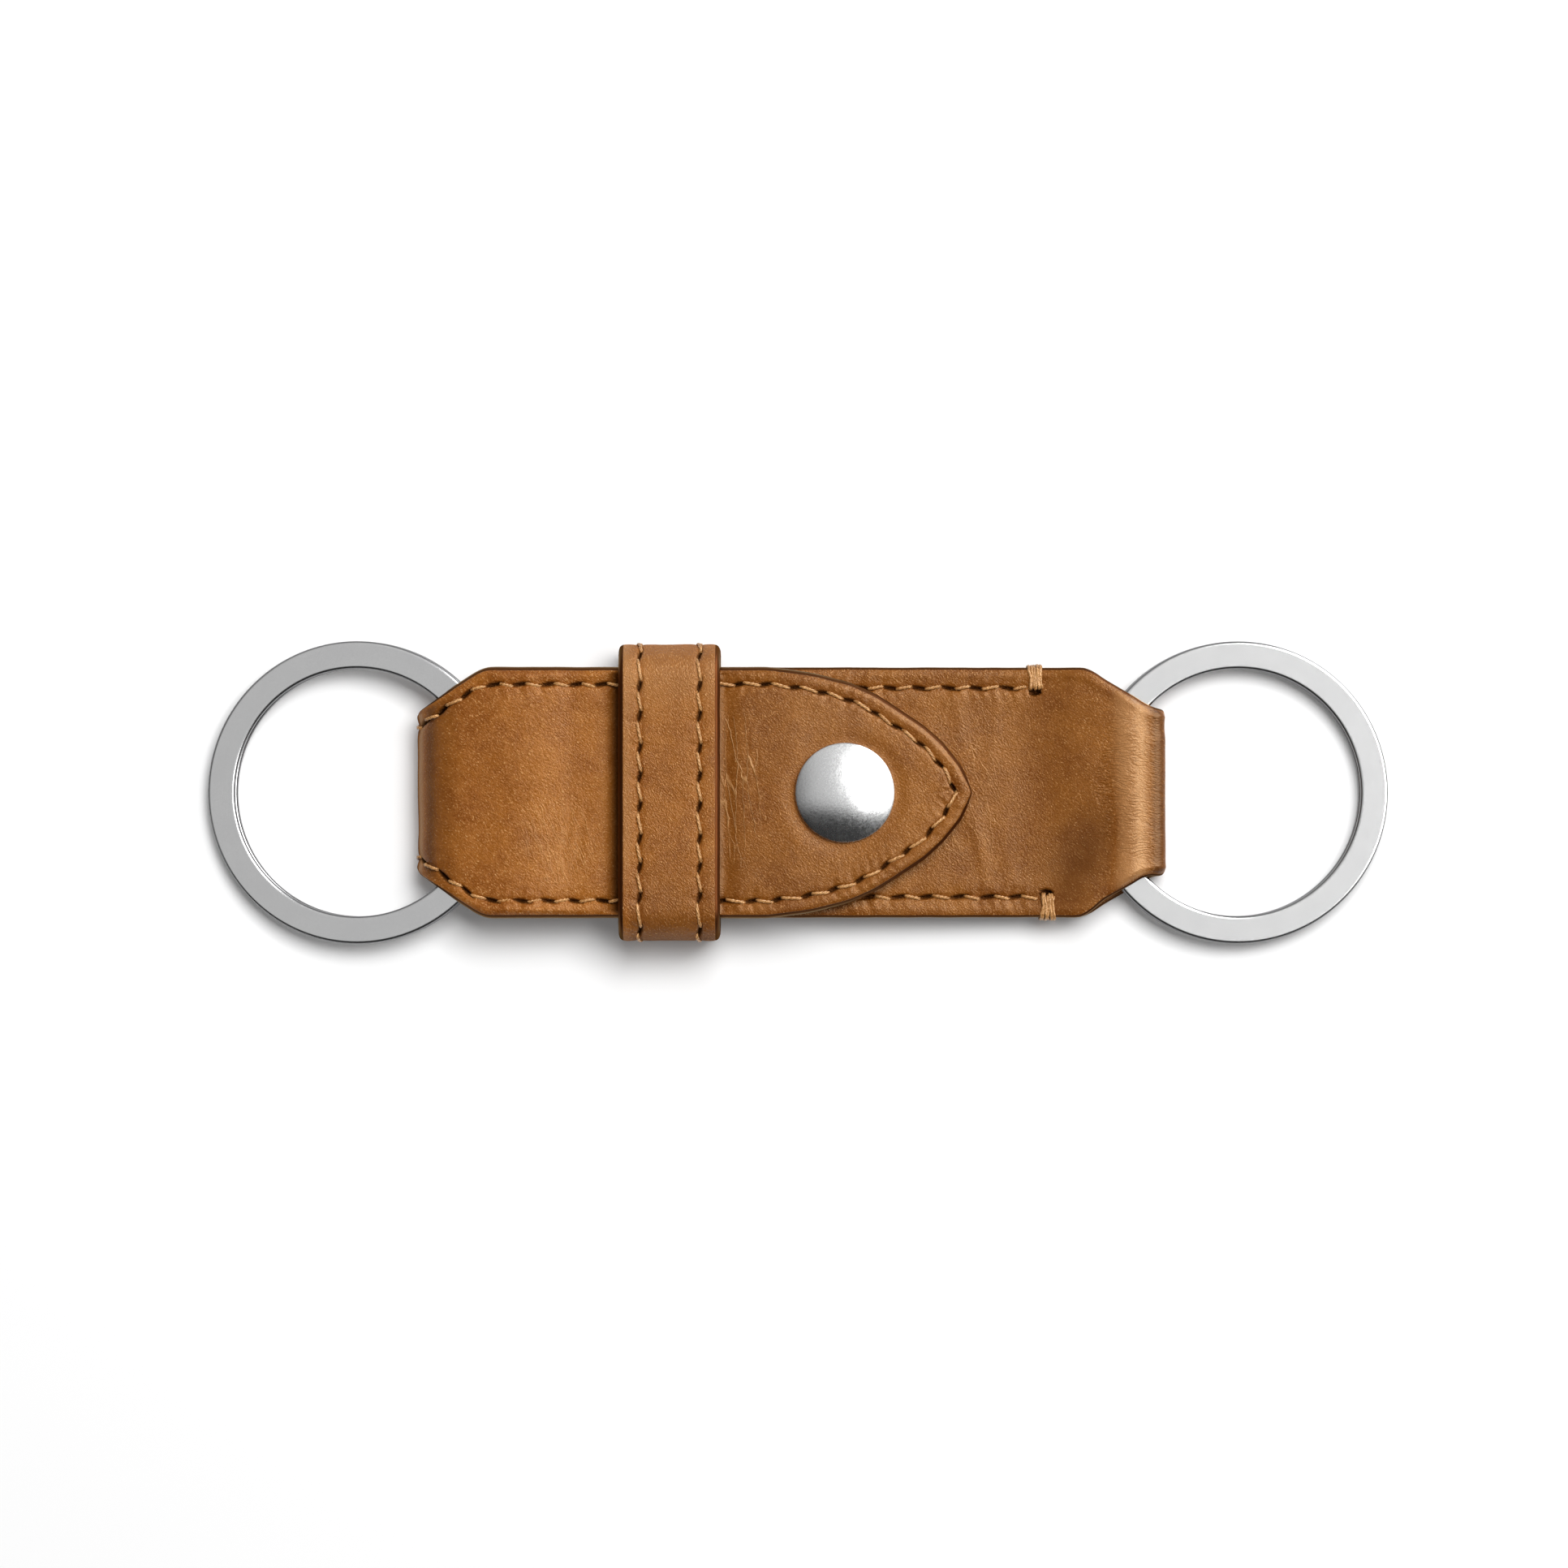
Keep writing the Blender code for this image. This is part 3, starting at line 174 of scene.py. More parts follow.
# Studio dome: an even fill on everything, and for shiny things a picture that is brighter on the right and
# dark towards the bottom. Fades run between two directions, some of them between two strengths as well
dome = {
    "fill": 0.22,
    "left": 0.66, "middle": 0.79, "middleFade": (-0.35, 0.0), "middleLean": 0.15,
    "farLeftFade": (-0.95, -0.40, 0.18, 1.0), "horizonFade": (0.05, 0.5, 0.2, 1.0),
    "upperFade": (-0.34, -0.14), "upperLean": -0.05,
    "bright": 0.24, "brightFade": (0.02, 0.42),
    "right": 7.5, "rightFade": (0.34, 0.54), "farRightFade": (0.76, 0.93, 1.0, 0.06),
    "box": 9.0, "boxPlace": (0.42, 0.44), "boxFade": (0.08, 0.30),
    "low": 0.055, "lowFade": (-0.50, -0.20), "lowLean": 0.12,
}
world = bpy.data.worlds.new("studio")
scene.world = world
world.use_nodes = True
sky = Paint(world.node_tree, "Background")
towardsX, towardsY, towardsZ = sky.coordinate("Generated").split()
reflected = (towardsX + towardsY * dome["middleLean"]).ramp(*dome["middleFade"], dome["left"], dome["middle"])
reflected = reflected * towardsX.ramp(*dome["farLeftFade"]) * towardsZ.ramp(*dome["horizonFade"])
upper = (towardsY + towardsX * dome["upperLean"]).ramp(*dome["upperFade"])
reflected = reflected + towardsX.ramp(*dome["brightFade"], 0.0, dome["bright"]) * upper
rightLight = towardsX.ramp(*dome["rightFade"], 0.0, dome["right"]) * towardsX.ramp(*dome["farRightFade"])
reflected = reflected + rightLight * upper
boxX, boxY = dome["boxPlace"]
fromBox = ((towardsX - boxX) ** 2.0 + (towardsY - boxY) ** 2.0) ** 0.5
reflected = reflected + fromBox.ramp(*dome["boxFade"], dome["box"], 0.0)
reflected = reflected * (towardsY + towardsX * dome["lowLean"]).ramp(*dome["lowFade"], dome["low"], 1.0)
glossyRay, cameraRay = sky.ray("Glossy"), sky.ray("Camera")
light = dome["fill"] * (1 - glossyRay) + reflected * glossyRay
sky.finish(Color=(1, 1, 1, 1), Strength=light * (1 - cameraRay) + cameraRay)

# Floor: plain and white, with a glow that keeps it as pale far off as beside the fob
ground = {"size": 6, "colour": (0.86, 0.86, 0.86, 1), "glowFade": (0.18, 1.2, 0.05, 0.80)}
bpy.ops.mesh.primitive_plane_add(size=ground["size"])
floor = bpy.context.object
floor.name = "floor"
floorMaterial, paint = newMaterial(
    "floorWhite", Base_Color=ground["colour"], Roughness=0.9, Specular_IOR_Level=0.0, Emission_Strength=1.0)
floorX, floorY = paint.coordinate("Object").split()[:2]
fromFob = (floorX ** 2.0 + floorY ** 2.0) ** 0.5
seen = (paint.ray("Camera") + paint.ray("Glossy") + paint.ray("Transmission")).atMost(1.0)
glow = seen * fromFob.ramp(*ground["glowFade"])
paint.finish(Emission_Color=glow.choose((0, 0, 0, 1), (1, 1, 1, 1)))
floor.data.materials.append(floorMaterial)
print("camera, lights and floor are in place")


# Sizes of the strap's layers and folds, in millimetres, as in the solids
strap = {
    "half": 13.2, "leaf": 1.25, "layer": 1.4, "level": 3.4, "slope": 0.058785, "slopeX": -0.5, "droop": 0.117523,
    "leftFold": -40.1, "leftCentre": (-35.675, 4.425), "leftR": 3.175, "leftDeep": -30.54, "levelLeft": -24.005,
    "rightFold": 38.8, "rightCentre": (36.075, 2.725), "rightR": 1.475, "rightDeep": 30.54, "panelEnd": -20.0,
    "foldHalf": 8.8, "leftShoulder": 7.6, "rightShoulder": 8.6,
    "leftShares": ((0, 0), (0.83, 0.90), (0.93, 0.975), (1, 1)),
    "rightShares": ((0, 0), (0.17, 0.07), (0.43, 0.37), (0.75, 0.72), (0.88, 0.90), (1, 1)),
}
bends = {"loop": 8.0, "crest": 34.0, "panel": 18.0, "slope": 30.0}  # radii
leaf, slope, droop, level = strap["leaf"], strap["slope"], strap["droop"], strap["level"]
seamX = -12.2  # where two lengths of leather meet, under the keeper
tongueHigh = 3 * strap["layer"]
frontHigh = level + tongueHigh
stationStep = 0.2
floorGap = 0.01  # nothing on the fob comes lower than this
threadLift = 0.02


def onSlope(x, height):
    return x, level - (x - strap["slopeX"]) * math.tan(slope) + height / math.cos(slope)


def onDroop(x, height):
    centreX, centreZ = strap["leftCentre"]
    return x, centreZ + (x - centreX) * math.tan(droop) + height / math.cos(droop)


def slopeCorner(height):
    return strap["slopeX"] + height * math.tan(slope / 2), level + height


def unit(vectors):
    return vectors / np.maximum(np.linalg.norm(vectors, axis=-1, keepdims=True), 1e-9)


def runOf(points):
    # Distance along a line at each of its points
    return np.append(0, np.cumsum(np.linalg.norm(np.diff(points, axis=0), axis=1)))


def pointAt(points, run, where):
    return np.stack([np.interp(where, run, points[:, k]) for k in (0, 1)], -1)


def softened(corners, steps=10):
    # Points of a line with its corners rounded; each corner is (point, bend radius)
    points = []
    for i, (point, radius) in enumerate(corners):
        point = np.array(point, float)
        if not radius:
            points.append(point)
            continue
        back, ahead = unit(np.array(corners[i - 1][0]) - point), unit(np.array(corners[i + 1][0]) - point)
        run = radius * math.tan(halfPi - math.acos(np.clip(back @ ahead, -1, 1)) / 2)
        start, end = point + back * run, point + ahead * run
        for t in np.linspace(0, 1, steps):
            points.append((1 - t) ** 2 * start + 2 * t * (1 - t) * point + t ** 2 * end)
    return points


def arc(centre, radius, first, last, steps=40):
    angles = np.linspace(first, last, steps)
    return [np.array(centre) + radius * np.array((math.cos(a), math.sin(a))) for a in angles]


class Route:
    # The middle line of a length of leather in the XZ plane; the outer face is on the right of travel
    def __init__(self, points, blur=0.9, closed=False, step=0.1):
        points = np.array(points)
        if closed:
            points = np.vstack([points, points[:1]])
        points = points[np.append(True, np.linalg.norm(np.diff(points, axis=0), axis=1) > 1e-6)]
        run = runOf(points)
        self.closed = closed
        self.s = np.linspace(0, run[-1], int(run[-1] / step) + 1)
        line = pointAt(points, run, self.s)
        width = int(blur / step) // 2
        if closed:
            padded = np.vstack([line[-width - 1:-1], line, line[1:width + 1]])
        else:
            padded = np.vstack([2 * line[0] - line[width:0:-1], line, 2 * line[-1] - line[-2:-width - 2:-1]])
        shares = np.hanning(2 * width + 3)[1:-1]
        shares /= shares.sum()
        self.line = line = np.stack([np.convolve(padded[:, k], shares, "valid") for k in (0, 1)], 1)
        if closed:
            wrap = np.vstack([line[-2], line, line[1]])
            along = unit(wrap[2:] - wrap[:-2])
        else:
            along = unit(np.gradient(line, axis=0))
        self.normal = np.stack([along[:, 1], -along[:, 0]], 1)

    def at(self, s, h):
        # Place of a point at a distance along the route and a height above it
        if self.closed:
            s = np.mod(s, self.s[-1])
        spot, out = pointAt(self.line, self.s, s), pointAt(self.normal, self.s, s)
        return spot[..., 0] + out[..., 0] * h, spot[..., 1] + out[..., 1] * h

    def sOf(self, x, start=0.0, end=math.inf):
        # Distance along the route at which it passes x, between two distances
        inside = (self.s >= start) & (self.s <= end)
        places, spots = self.line[inside, 0], self.s[inside]
        if places[-1] < places[0]:
            places, spots = places[::-1], spots[::-1]
        return np.interp(x, places, spots)

    def xOf(self, s):
        return np.interp(s, self.s, self.line[:, 0])


def shareOf(table, share):
    return np.interp(share, *zip(*table))


def strapHalf(x):
    left = shareOf(strap["leftShares"], (x - strap["leftFold"]) / strap["leftShoulder"])
    right = shareOf(strap["rightShares"], (strap["rightFold"] - x) / strap["rightShoulder"])
    return strap["foldHalf"] + (strap["half"] - strap["foldHalf"]) * np.minimum(left, right)


def smoothed(values, width):
    shares = np.hanning(width + 2)[1:-1]
    padded = np.concatenate([np.full(width // 2, values[0]), values, np.full(width - 1 - width // 2, values[-1])])
    return np.convolve(padded, shares / shares.sum(), "valid")


def strapOutline(route):
    # Stations along a length of strap, each (s, half width)
    s = np.arange(0, route.s[-1] + stationStep / 2, stationStep)
    return np.stack([s, smoothed(strapHalf(route.at(s, leaf)[0]), 7)], 1)


def hill(value, middle, width):
    return np.exp(-((value - middle) / width) ** 2)


def hills(value, table):
    # Sum of soft ridges, each (height, middle, width)
    return sum(height * hill(value, middle, width) for height, middle, width in table)


def blotches(spots, size, seed):
    # Smooth noise from -1 to 1 at each (s, w)
    return np.array([noise.noise(Vector((a / size, b / size, seed))) for a, b in spots])


# Thread, and the groove, slits and puckers that it makes in the leather. Visible, overlap, early, slitStart
# and slitEnd are shares of a stitch; reach is how far from a row or a slit the leather moves
stitch = {
    "radius": 0.185, "strand": 0.108, "strands": 3, "turns": 1.3, "steps": 15, "sides": 6,
    "visible": 0.42, "overlap": 0.10, "early": 0.03, "sway": 0.16, "wander": 0.04, "dive": 0.40, "uneven": 0.05,
    "slitHalf": 0.15, "slitDepth": 0.45, "slitStart": -0.04, "slitEnd": 1.02, "slitSway": (1.15, -0.6),
    "groove": 0.13, "grooveHalf": 0.36, "pucker": 0.065, "puckerFrom": 0.35, "puckerTo": 1.15,
    "reach": 3.2, "slitReach": 1.4,
}


class Row:
    # A line of stitches in the (s, w) plane of a length of leather
    def __init__(self, points, pitch, slant=1.0, first=0.0, visible=stitch["visible"]):
        self.points = np.array(points, float)
        self.run, self.slant, self.visible = runOf(self.points), slant, visible
        count = int(round((self.run[-1] - first) / pitch))
        self.pitch = (self.run[-1] - first) / count
        self.starts = first + self.pitch * np.arange(count)
        self.extra = []  # more slits, each from a to b

    def spot(self, run, across):
        here, ahead, behind = (pointAt(self.points, self.run, run + step) for step in (0, 0.05, -0.05))
        forward = unit(ahead - behind)
        return here + np.array((-forward[1], forward[0])) * across

    def uneven(self, start):
        return stitch["uneven"] * math.sin(start * 7.3 + self.points[0, 1])

    def slits(self):
        # Ends of the needle slits, each cut aslant from one stitch to the next
        startSway, endSway = (share * stitch["sway"] * self.slant for share in stitch["slitSway"])
        for start in self.starts:
            uneven = self.uneven(start)
            yield (self.spot(start + self.pitch * (self.visible + stitch["slitStart"] + uneven), startSway),
                   self.spot(start + self.pitch * (stitch["slitEnd"] + uneven), endSway))
        yield from self.extra


def rowBeside(outline, inset, side, start, end, pitch, slant):
    points = outline[(outline[:, 0] >= start) & (outline[:, 0] <= end)]
    return Row(np.stack([points[:, 0], side * (points[:, 1] - inset)], 1), pitch, slant)


def fromLine(spots, a, b):
    # How far each spot is from the line between two points, and its share of the way from a to b
    d = b - a
    share = np.clip(((spots - a) @ d) / (d @ d), 0, 1)
    return np.linalg.norm(spots - (a + share[:, None] * d), axis=1), share


def sunk(spots, rows):
    # Depth of the groove, slits and puckers at each (s, w), and how much painted shade each place gets in a slit
    depth, pucker, dark = (np.zeros(len(spots)) for _ in range(3))
    for row in rows:
        low, high = row.points.min(0) - stitch["reach"], row.points.max(0) + stitch["reach"]
        near = np.all((spots > low) & (spots < high), axis=1)
        if not near.any():
            continue
        picked = spots[near]
        best, run = np.full(len(picked), 9.0), np.zeros(len(picked))
        for i, (a, b) in enumerate(zip(row.points, row.points[1:])):
            away, share = fromLine(picked, a, b)
            closer = away < best
            best[closer] = away[closer]
            run[closer] = (row.run[i] + share * (row.run[i + 1] - row.run[i]))[closer]
        groove = stitch["groove"] * np.exp(-(best / stitch["grooveHalf"]) ** 2)
        depth[near] = np.maximum(depth[near], groove)
        turn = (run - row.starts[0]) / row.pitch
        ripple = np.sin(fullTurn * (turn - 0.12) + 0.9 * np.sin(turn * 2.3))
        ripple = ripple + 0.7 * np.sin(turn * 17.1 + best * 2)
        fade = np.exp(-(best / stitch["puckerTo"]) ** 2) * (1 - np.exp(-(best / stitch["puckerFrom"]) ** 2))
        pucker[near] += stitch["pucker"] * ripple * fade * (0.7 + 0.5 * np.sin(turn * 1.3))
    for row in rows:
        for a, b in row.slits():
            near = np.all(np.abs(spots - (a + b) / 2) < stitch["slitReach"], axis=1)
            if not near.any():
                continue
            away, share = fromLine(spots[near], a, b)
            width = stitch["slitHalf"] * (0.45 + np.sin(math.pi * np.clip(share, 0.04, 0.96)) ** 0.8)
            depth[near] = np.maximum(depth[near], stitch["slitDepth"] * np.exp(-(away / width) ** 3))
            dark[near] = np.maximum(dark[near], np.exp(-(away / (width * 1.05)) ** 4))
    return depth - pucker, dark


def meshObject(name, points, faces, material, sharpFrom=None, **layers):
    # A piece from points in millimetres; layers are values at its points that its material reads
    mesh = bpy.data.meshes.new(name)
    mesh.from_pydata([tuple(point) for point in np.array(points) * mm], [], faces)
    mesh.validate()
    made = bpy.data.objects.new(name, mesh)
    scene.collection.objects.link(made)
    mesh.shade_smooth()
    mesh.materials.append(material)
    for word, values in layers.items():
        kind, slot = ("FLOAT_VECTOR", "vector") if np.ndim(values) == 2 else ("FLOAT", "value")
        layer = mesh.attributes.new(word, kind, "POINT")
        layer.data.foreach_set(slot, np.asarray(values, np.float32).ravel())
    # Points that meet are joined, and every face is turned outward
    bm = bmesh.new()
    bm.from_mesh(mesh)
    bmesh.ops.remove_doubles(bm, verts=bm.verts, dist=1e-7)
    bmesh.ops.dissolve_degenerate(bm, dist=1e-8, edges=bm.edges)
    bmesh.ops.recalc_face_normals(bm, faces=bm.faces)
    bm.to_mesh(mesh)
    bm.free()
    if sharpFrom:
        mesh.set_sharp_from_angle(angle=sharpFrom)
    return made


def ringFaces(count, size, base=0, closed=False):
    # Faces between rings of points that follow each other; the first and last ring are capped or joined
    faces = []
    for i in range(count if closed else count - 1):
        here, ahead = base + i * size, base + (i + 1) % count * size
        for j in range(size):
            k = (j + 1) % size
            faces.append((here + j, here + k, ahead + k, ahead + j))
    if not closed:
        faces.append(tuple(range(base, base + size))[::-1])
        faces.append(tuple(range(base + (count - 1) * size, base + count * size)))
    return faces


# How a length of leather is cut: its edge is painted and rounded, and its mesh is finer near the edge
cut = {
    "rim": 0.78, "tipRim": 0.4, "tipHalf": 0.6, "near": 3.2, "nearShare": 0.72, "steps": 11, "round": 0.8,
    "wave": 0.03, "waveSize": 2.4,
}


def leather(name, route, outline, low, high, material, relief, place, rim=cut["rim"], lowSide=None,
            nearStep=0.14, midStep=0.40, paintFrom=0.5):
    # Stations along an outline of (s, half width), each a ring of points across the outer face, round the
    # edge and back across the inner face; the two side edges may differ
    centre, bulge = (low + high) / 2, (high - low) / 2
    nearCount = int(cut["near"] / nearStep)
    midCount = max(int((outline[:, 1].max() - cut["near"]) / midStep), 4)
    halves = []
    for sign, line in ((1, outline), (-1, outline if lowSide is None else lowSide)):
        if route.closed:
            ahead, behind = np.roll(line, -1, 0), np.roll(line, 1, 0)
            ahead[-1, 0] += route.s[-1]
            behind[0, 0] -= route.s[-1]
            along = unit(ahead - behind)
        else:
            along = unit(np.gradient(line, axis=0))
        out = np.stack([-along[:, 1], along[:, 0]], 1)
        across = np.maximum(out[:, 1], 0.12)
        # The rim is narrower towards a pointed end
        rims = np.minimum(rim, cut["tipRim"] + 0.3 * np.maximum(line[:, 1] - cut["tipHalf"], 0))
        foot = line - out * rims[:, None]
        foot[:, 1] = np.maximum(foot[:, 1], 0)
        near = np.minimum(cut["near"] / across, foot[:, 1] * cut["nearShare"])
        falls = [near * j / nearCount for j in range(nearCount)]
        falls += [near + (foot[:, 1] - near) * m for m in np.linspace(0, 1, midCount + 1)[:-1]]
        columns = []  # s, w, height, inset from the edge, painted, side
        for fall in reversed(falls):
            columns.append((foot[:, 0], foot[:, 1] - fall, high, rims + fall * across, 0, 1))
        for angle in np.linspace(0, math.pi, cut["steps"])[1:-1]:
            inset = rims * (1 - math.sin(angle) ** cut["round"])
            spot = line - out * inset[:, None]
            height = centre + bulge * math.copysign(abs(math.cos(angle)) ** cut["round"], math.cos(angle))
            columns.append((spot[:, 0], np.maximum(spot[:, 1], 0), height, inset, math.sin(angle) > paintFrom, 0))
        for fall in falls[::2]:
            columns.append((foot[:, 0], foot[:, 1] - fall, low, rims + fall * across, 0, -1))
        stacked = [np.stack([np.broadcast_to(column[k], len(line)) for column in columns], 1).astype(float)
                   for k in range(6)]
        stacked[1] *= sign
        halves.append(stacked)
    joined = [np.concatenate([upper, lower[:, ::-1]], 1) for upper, lower in zip(*halves)]
    s, w, h, insets, painted, side = [part.ravel() for part in joined]
    spots = np.stack([s, w], 1)
    top, rimHere = side > 0, side == 0
    dark, shade = np.zeros(len(spots)), np.zeros(len(spots))
    lift, depth, dark[top], shade[top] = relief(spots[top], insets[top])
    h[top] += lift - depth
    wave = blotches(spots[rimHere], cut["waveSize"], 7.1) * cut["wave"]
    w[rimHere] += np.sign(w[rimHere]) * wave * np.clip(abs(w[rimHere]), 0, 1)
    upright = abs(np.interp(s, route.s, route.normal[:, 1]))
    return meshObject(
        name, place(route, s, w, h), ringFaces(len(outline), joined[0].shape[1], closed=route.closed), material,
        along=np.stack([s, w, h], 1), painted=painted, inside=(side < 0).astype(float), slit=dark, shade=shade,
        fold=1 - np.clip(upright / 0.8, 0, 1))


def alongStrap(route, s, w, h):
    x, z = route.at(s, h)
    return np.stack([x, w, np.maximum(z, floorGap)], 1)


def roundTheStrap(route, s, w, h):
    y, z = route.at(s, h)
    return np.stack([keeper["x"] + w, y, np.maximum(z, floorGap)], 1)


def besideLine(line, upward):
    # Directions sideways and upward at each point of a line
    tangent = unit(np.gradient(line, axis=0))
    sideways = unit(np.cross(tangent, upward))
    return sideways, np.cross(sideways, tangent)


def addTube(verts, faces, core, thick, sideways, upward, sides):
    faces += ringFaces(len(core), sides, len(verts))
    for i in range(len(core)):
        for k in range(sides):
            a = fullTurn * k / sides
            verts.append(core[i] + thick[i] * (math.cos(a) * sideways[i] + math.sin(a) * upward[i]))


def stitches(name, route, rows, height, place, seed):
    # Each stitch is three strands twisted together, rising from one slit and diving into the next
    chance = random.Random(seed)
    verts, faces = [], []
    shares = np.linspace(0, 1, stitch["steps"])
    heights = height - stitch["dive"] * abs(shares * 2 - 1) ** 5
    twist = np.linspace(0, fullTurn * stitch["turns"], stitch["steps"])
    offset, thick = stitch["radius"] - stitch["strand"], np.full(stitch["steps"], stitch["strand"])
    for row in rows:
        for start in row.starts:
            long = row.pitch * (row.visible + stitch["overlap"] + row.uneven(start))
            begin = start - row.pitch * stitch["early"]
            wander = chance.uniform(-stitch["wander"], stitch["wander"])
            turn = chance.uniform(0, fullTurn)
            spots = np.array([
                row.spot(begin + long * t, (t * 2 - 1) * stitch["sway"] * row.slant + wander) for t in shares])
            line = place(route, spots[:, 0], spots[:, 1], heights)
            sideways, upward = besideLine(line, line - place(route, spots[:, 0], spots[:, 1], heights - 1.0))
            for strand in range(stitch["strands"]):
                phase = turn + fullTurn * strand / stitch["strands"] + twist
                core = line + offset * (np.cos(phase)[:, None] * sideways + np.sin(phase)[:, None] * upward)
                addTube(verts, faces, core, thick, sideways, upward, stitch["sides"])
    points = np.array(verts)
    points[:, 2] = np.maximum(points[:, 2], floorGap)
    return meshObject(name, points, faces, threadTan)


# Leather, its painted edge, its inner side and the needle slits, painted near black as shade, in one material;
# grain is given as scales along and across the strap and a turn
hide = {
    "tan": (0.224, 0.073, 0.008, 1), "deep": (0.148, 0.040, 0.003, 1), "pale": (0.300, 0.112, 0.024, 1),
    # The slit colour is painted shade for the needle holes
    "paint": (0.062, 0.016, 0.003, 1), "slit": (0.026, 0.008, 0.002, 1), "inner": (0.25, 0.090, 0.022, 1),
    # The tucked colour is painted shade and the rubbed colour a painted highlight
    "glintAndCrease": (0.55, 0.30, 0.12, 1), "paintedShade": (0.045, 0.011, 0.001, 1), "paintedHighlight": (0.40, 0.19, 0.070, 1),
    "sheen": (1.0, 0.83, 0.55, 1), "ior": 1.44, "gloss": 0.29, "paintGloss": 0.40, "bump": 0.00009,
    "streaks": (2.6, 4.4, math.radians(36)), "pebbles": (2.0, 2.6, math.radians(30)),
    "pores": (4.6, 7.0, math.radians(40)), "pebbleSize": 1.35, "clouds": 0.22, "patches": 0.8,
    "streakHeight": 0.22, "pebbleHeight": 0.20, "poreHeight": 0.60,
    "patchTint": 0.35, "streakTint": 0.30, "poreTint": 0.38, "glintTint": 0.55,
    "splitTint": 0.55, "creaseTint": 0.7,
}


def leatherMaterial(name, paintedLightTone, grain, cracks=()):
    material, paint = newMaterial(name, IOR=hide["ior"], Specular_Tint=hide["sheen"])
    along = paint.attribute("along", "Vector")
    painted = paint.attribute("painted").ramp(0.35, 0.65)
    inside = paint.attribute("inside").ramp(0.4, 0.6)
    slit, shade, fold = paint.attribute("slit"), paint.attribute("shade"), paint.attribute("fold")
    s, w, h = along.split()
    warp, loose = paint.noise(along, 0.9), paint.noise(along, 0.35)

    def place(x, y, scaleX, scaleY, turn):
        c, d = math.cos(turn), math.sin(turn)
        return paint.node("ShaderNodeCombineXYZ", {}, {
            0: (x * c + y * d) * scaleX, 1: (y * c - x * d) * scaleY, 2: h})

    # Short slanting streaks, pebbles and finer pores
    streaks = paint.noise(place(s + warp * 0.9, w + loose * 2.0, *hide["streaks"]), 1.0, 3.0, 0.6)
    pebbles = paint.cells(place(s + warp * 0.4, w + loose, *hide["pebbles"]), hide["pebbleSize"])
    pores = paint.noise(place(s, w, *hide["pores"]), 1.0, 2.0, 0.6)
    clouds = paint.noise(along, hide["clouds"], 3.0, 0.55)
    patches = paint.noise(along, hide["patches"])
    split = None
    for crack in cracks:
        (centreX, centreY), (reachX, reachY) = crack["centre"], crack["reach"]
        x, y = s - centreX, w - centreY
        net = place(x + warp * crack["sway"], y + loose * 2.0, *crack["cells"], crack["turn"])
        lines = paint.cells(net, 1.0, "DISTANCE_TO_EDGE")
        away = (x / reachX) ** 2.0 + (y / reachY) ** 2.0 + (loose - 0.5) * 2.2
        one = (1 - lines.ramp(0.0, crack["width"])) * away.ramp(0.2, 1.1, 1.0, 0.0) * crack["depth"]
        split = one if split is None else split + one
    # Colour: cloudy tan, deeper in the pores, with small painted glints on the ridges
    tan, deep, pale = ([c * paintedLightTone for c in hide[word][:3]] + [1] for word in ("tan", "deep", "pale"))
    colour = clouds.ramp(0.30, 0.70).choose(deep, tan)
    colour = (patches.ramp(0.35, 0.75) * hide["patchTint"]).choose(colour, pale)
    colour = ((1 - streaks.ramp(0.34, 0.54)) * (hide["streakTint"] * grain)).choose(colour, deep)
    colour = (pores.ramp(0.48, 0.70) * (hide["poreTint"] * grain)).choose(colour, pale)
    # Small cream flecks on the highest pores are painted glints
    colour = (pores.ramp(0.61, 0.71) * (hide["glintTint"] * grain)).choose(colour, hide["glintAndCrease"])
    height = (streaks * (hide["streakHeight"] * grain) + pebbles * (hide["pebbleHeight"] * grain)
              + pores * (hide["poreHeight"] * grain))
    if split:
        colour = (split.clamped() * hide["splitTint"]).choose(colour, deep)
        colour = ((-split).clamped() * hide["creaseTint"]).choose(colour, hide["glintAndCrease"])
        height = height - split
    # Painted shade where the leather tucks in or turns from the light, painted highlight where it should catch
    # the light
    colour = (shade.clamped() * 0.9).choose(colour, hide["paintedShade"])
    colour = (-shade).clamped().choose(colour, hide["paintedHighlight"])
    colour = inside.choose(colour, pores.ramp(0.3, 0.7).choose(hide["inner"], hide["tan"]))
    # Needle slits take the near-black slit colour: painted shade in the holes
    colour = slit.choose(painted.choose(colour, hide["paint"]), hide["slit"])
    rough = hide["gloss"] + pores.ramp(0.3, 0.7, -0.04, 0.06) + inside * 0.2
    rough = (1 - painted) * rough + painted * hide["paintGloss"] + slit * 0.3 + fold * 0.6 + shade * 0.08
    paint.finish(
        Base_Color=colour, Roughness=rough.atLeast(0.16).atMost(0.9),
        Metallic=(slit + painted * 0.8 + fold * 0.35).atMost(1.0),
        Normal=paint.bump(height * (1 - painted) * (1 - 0.5 * inside), 1.0, hide["bump"]))
    return material


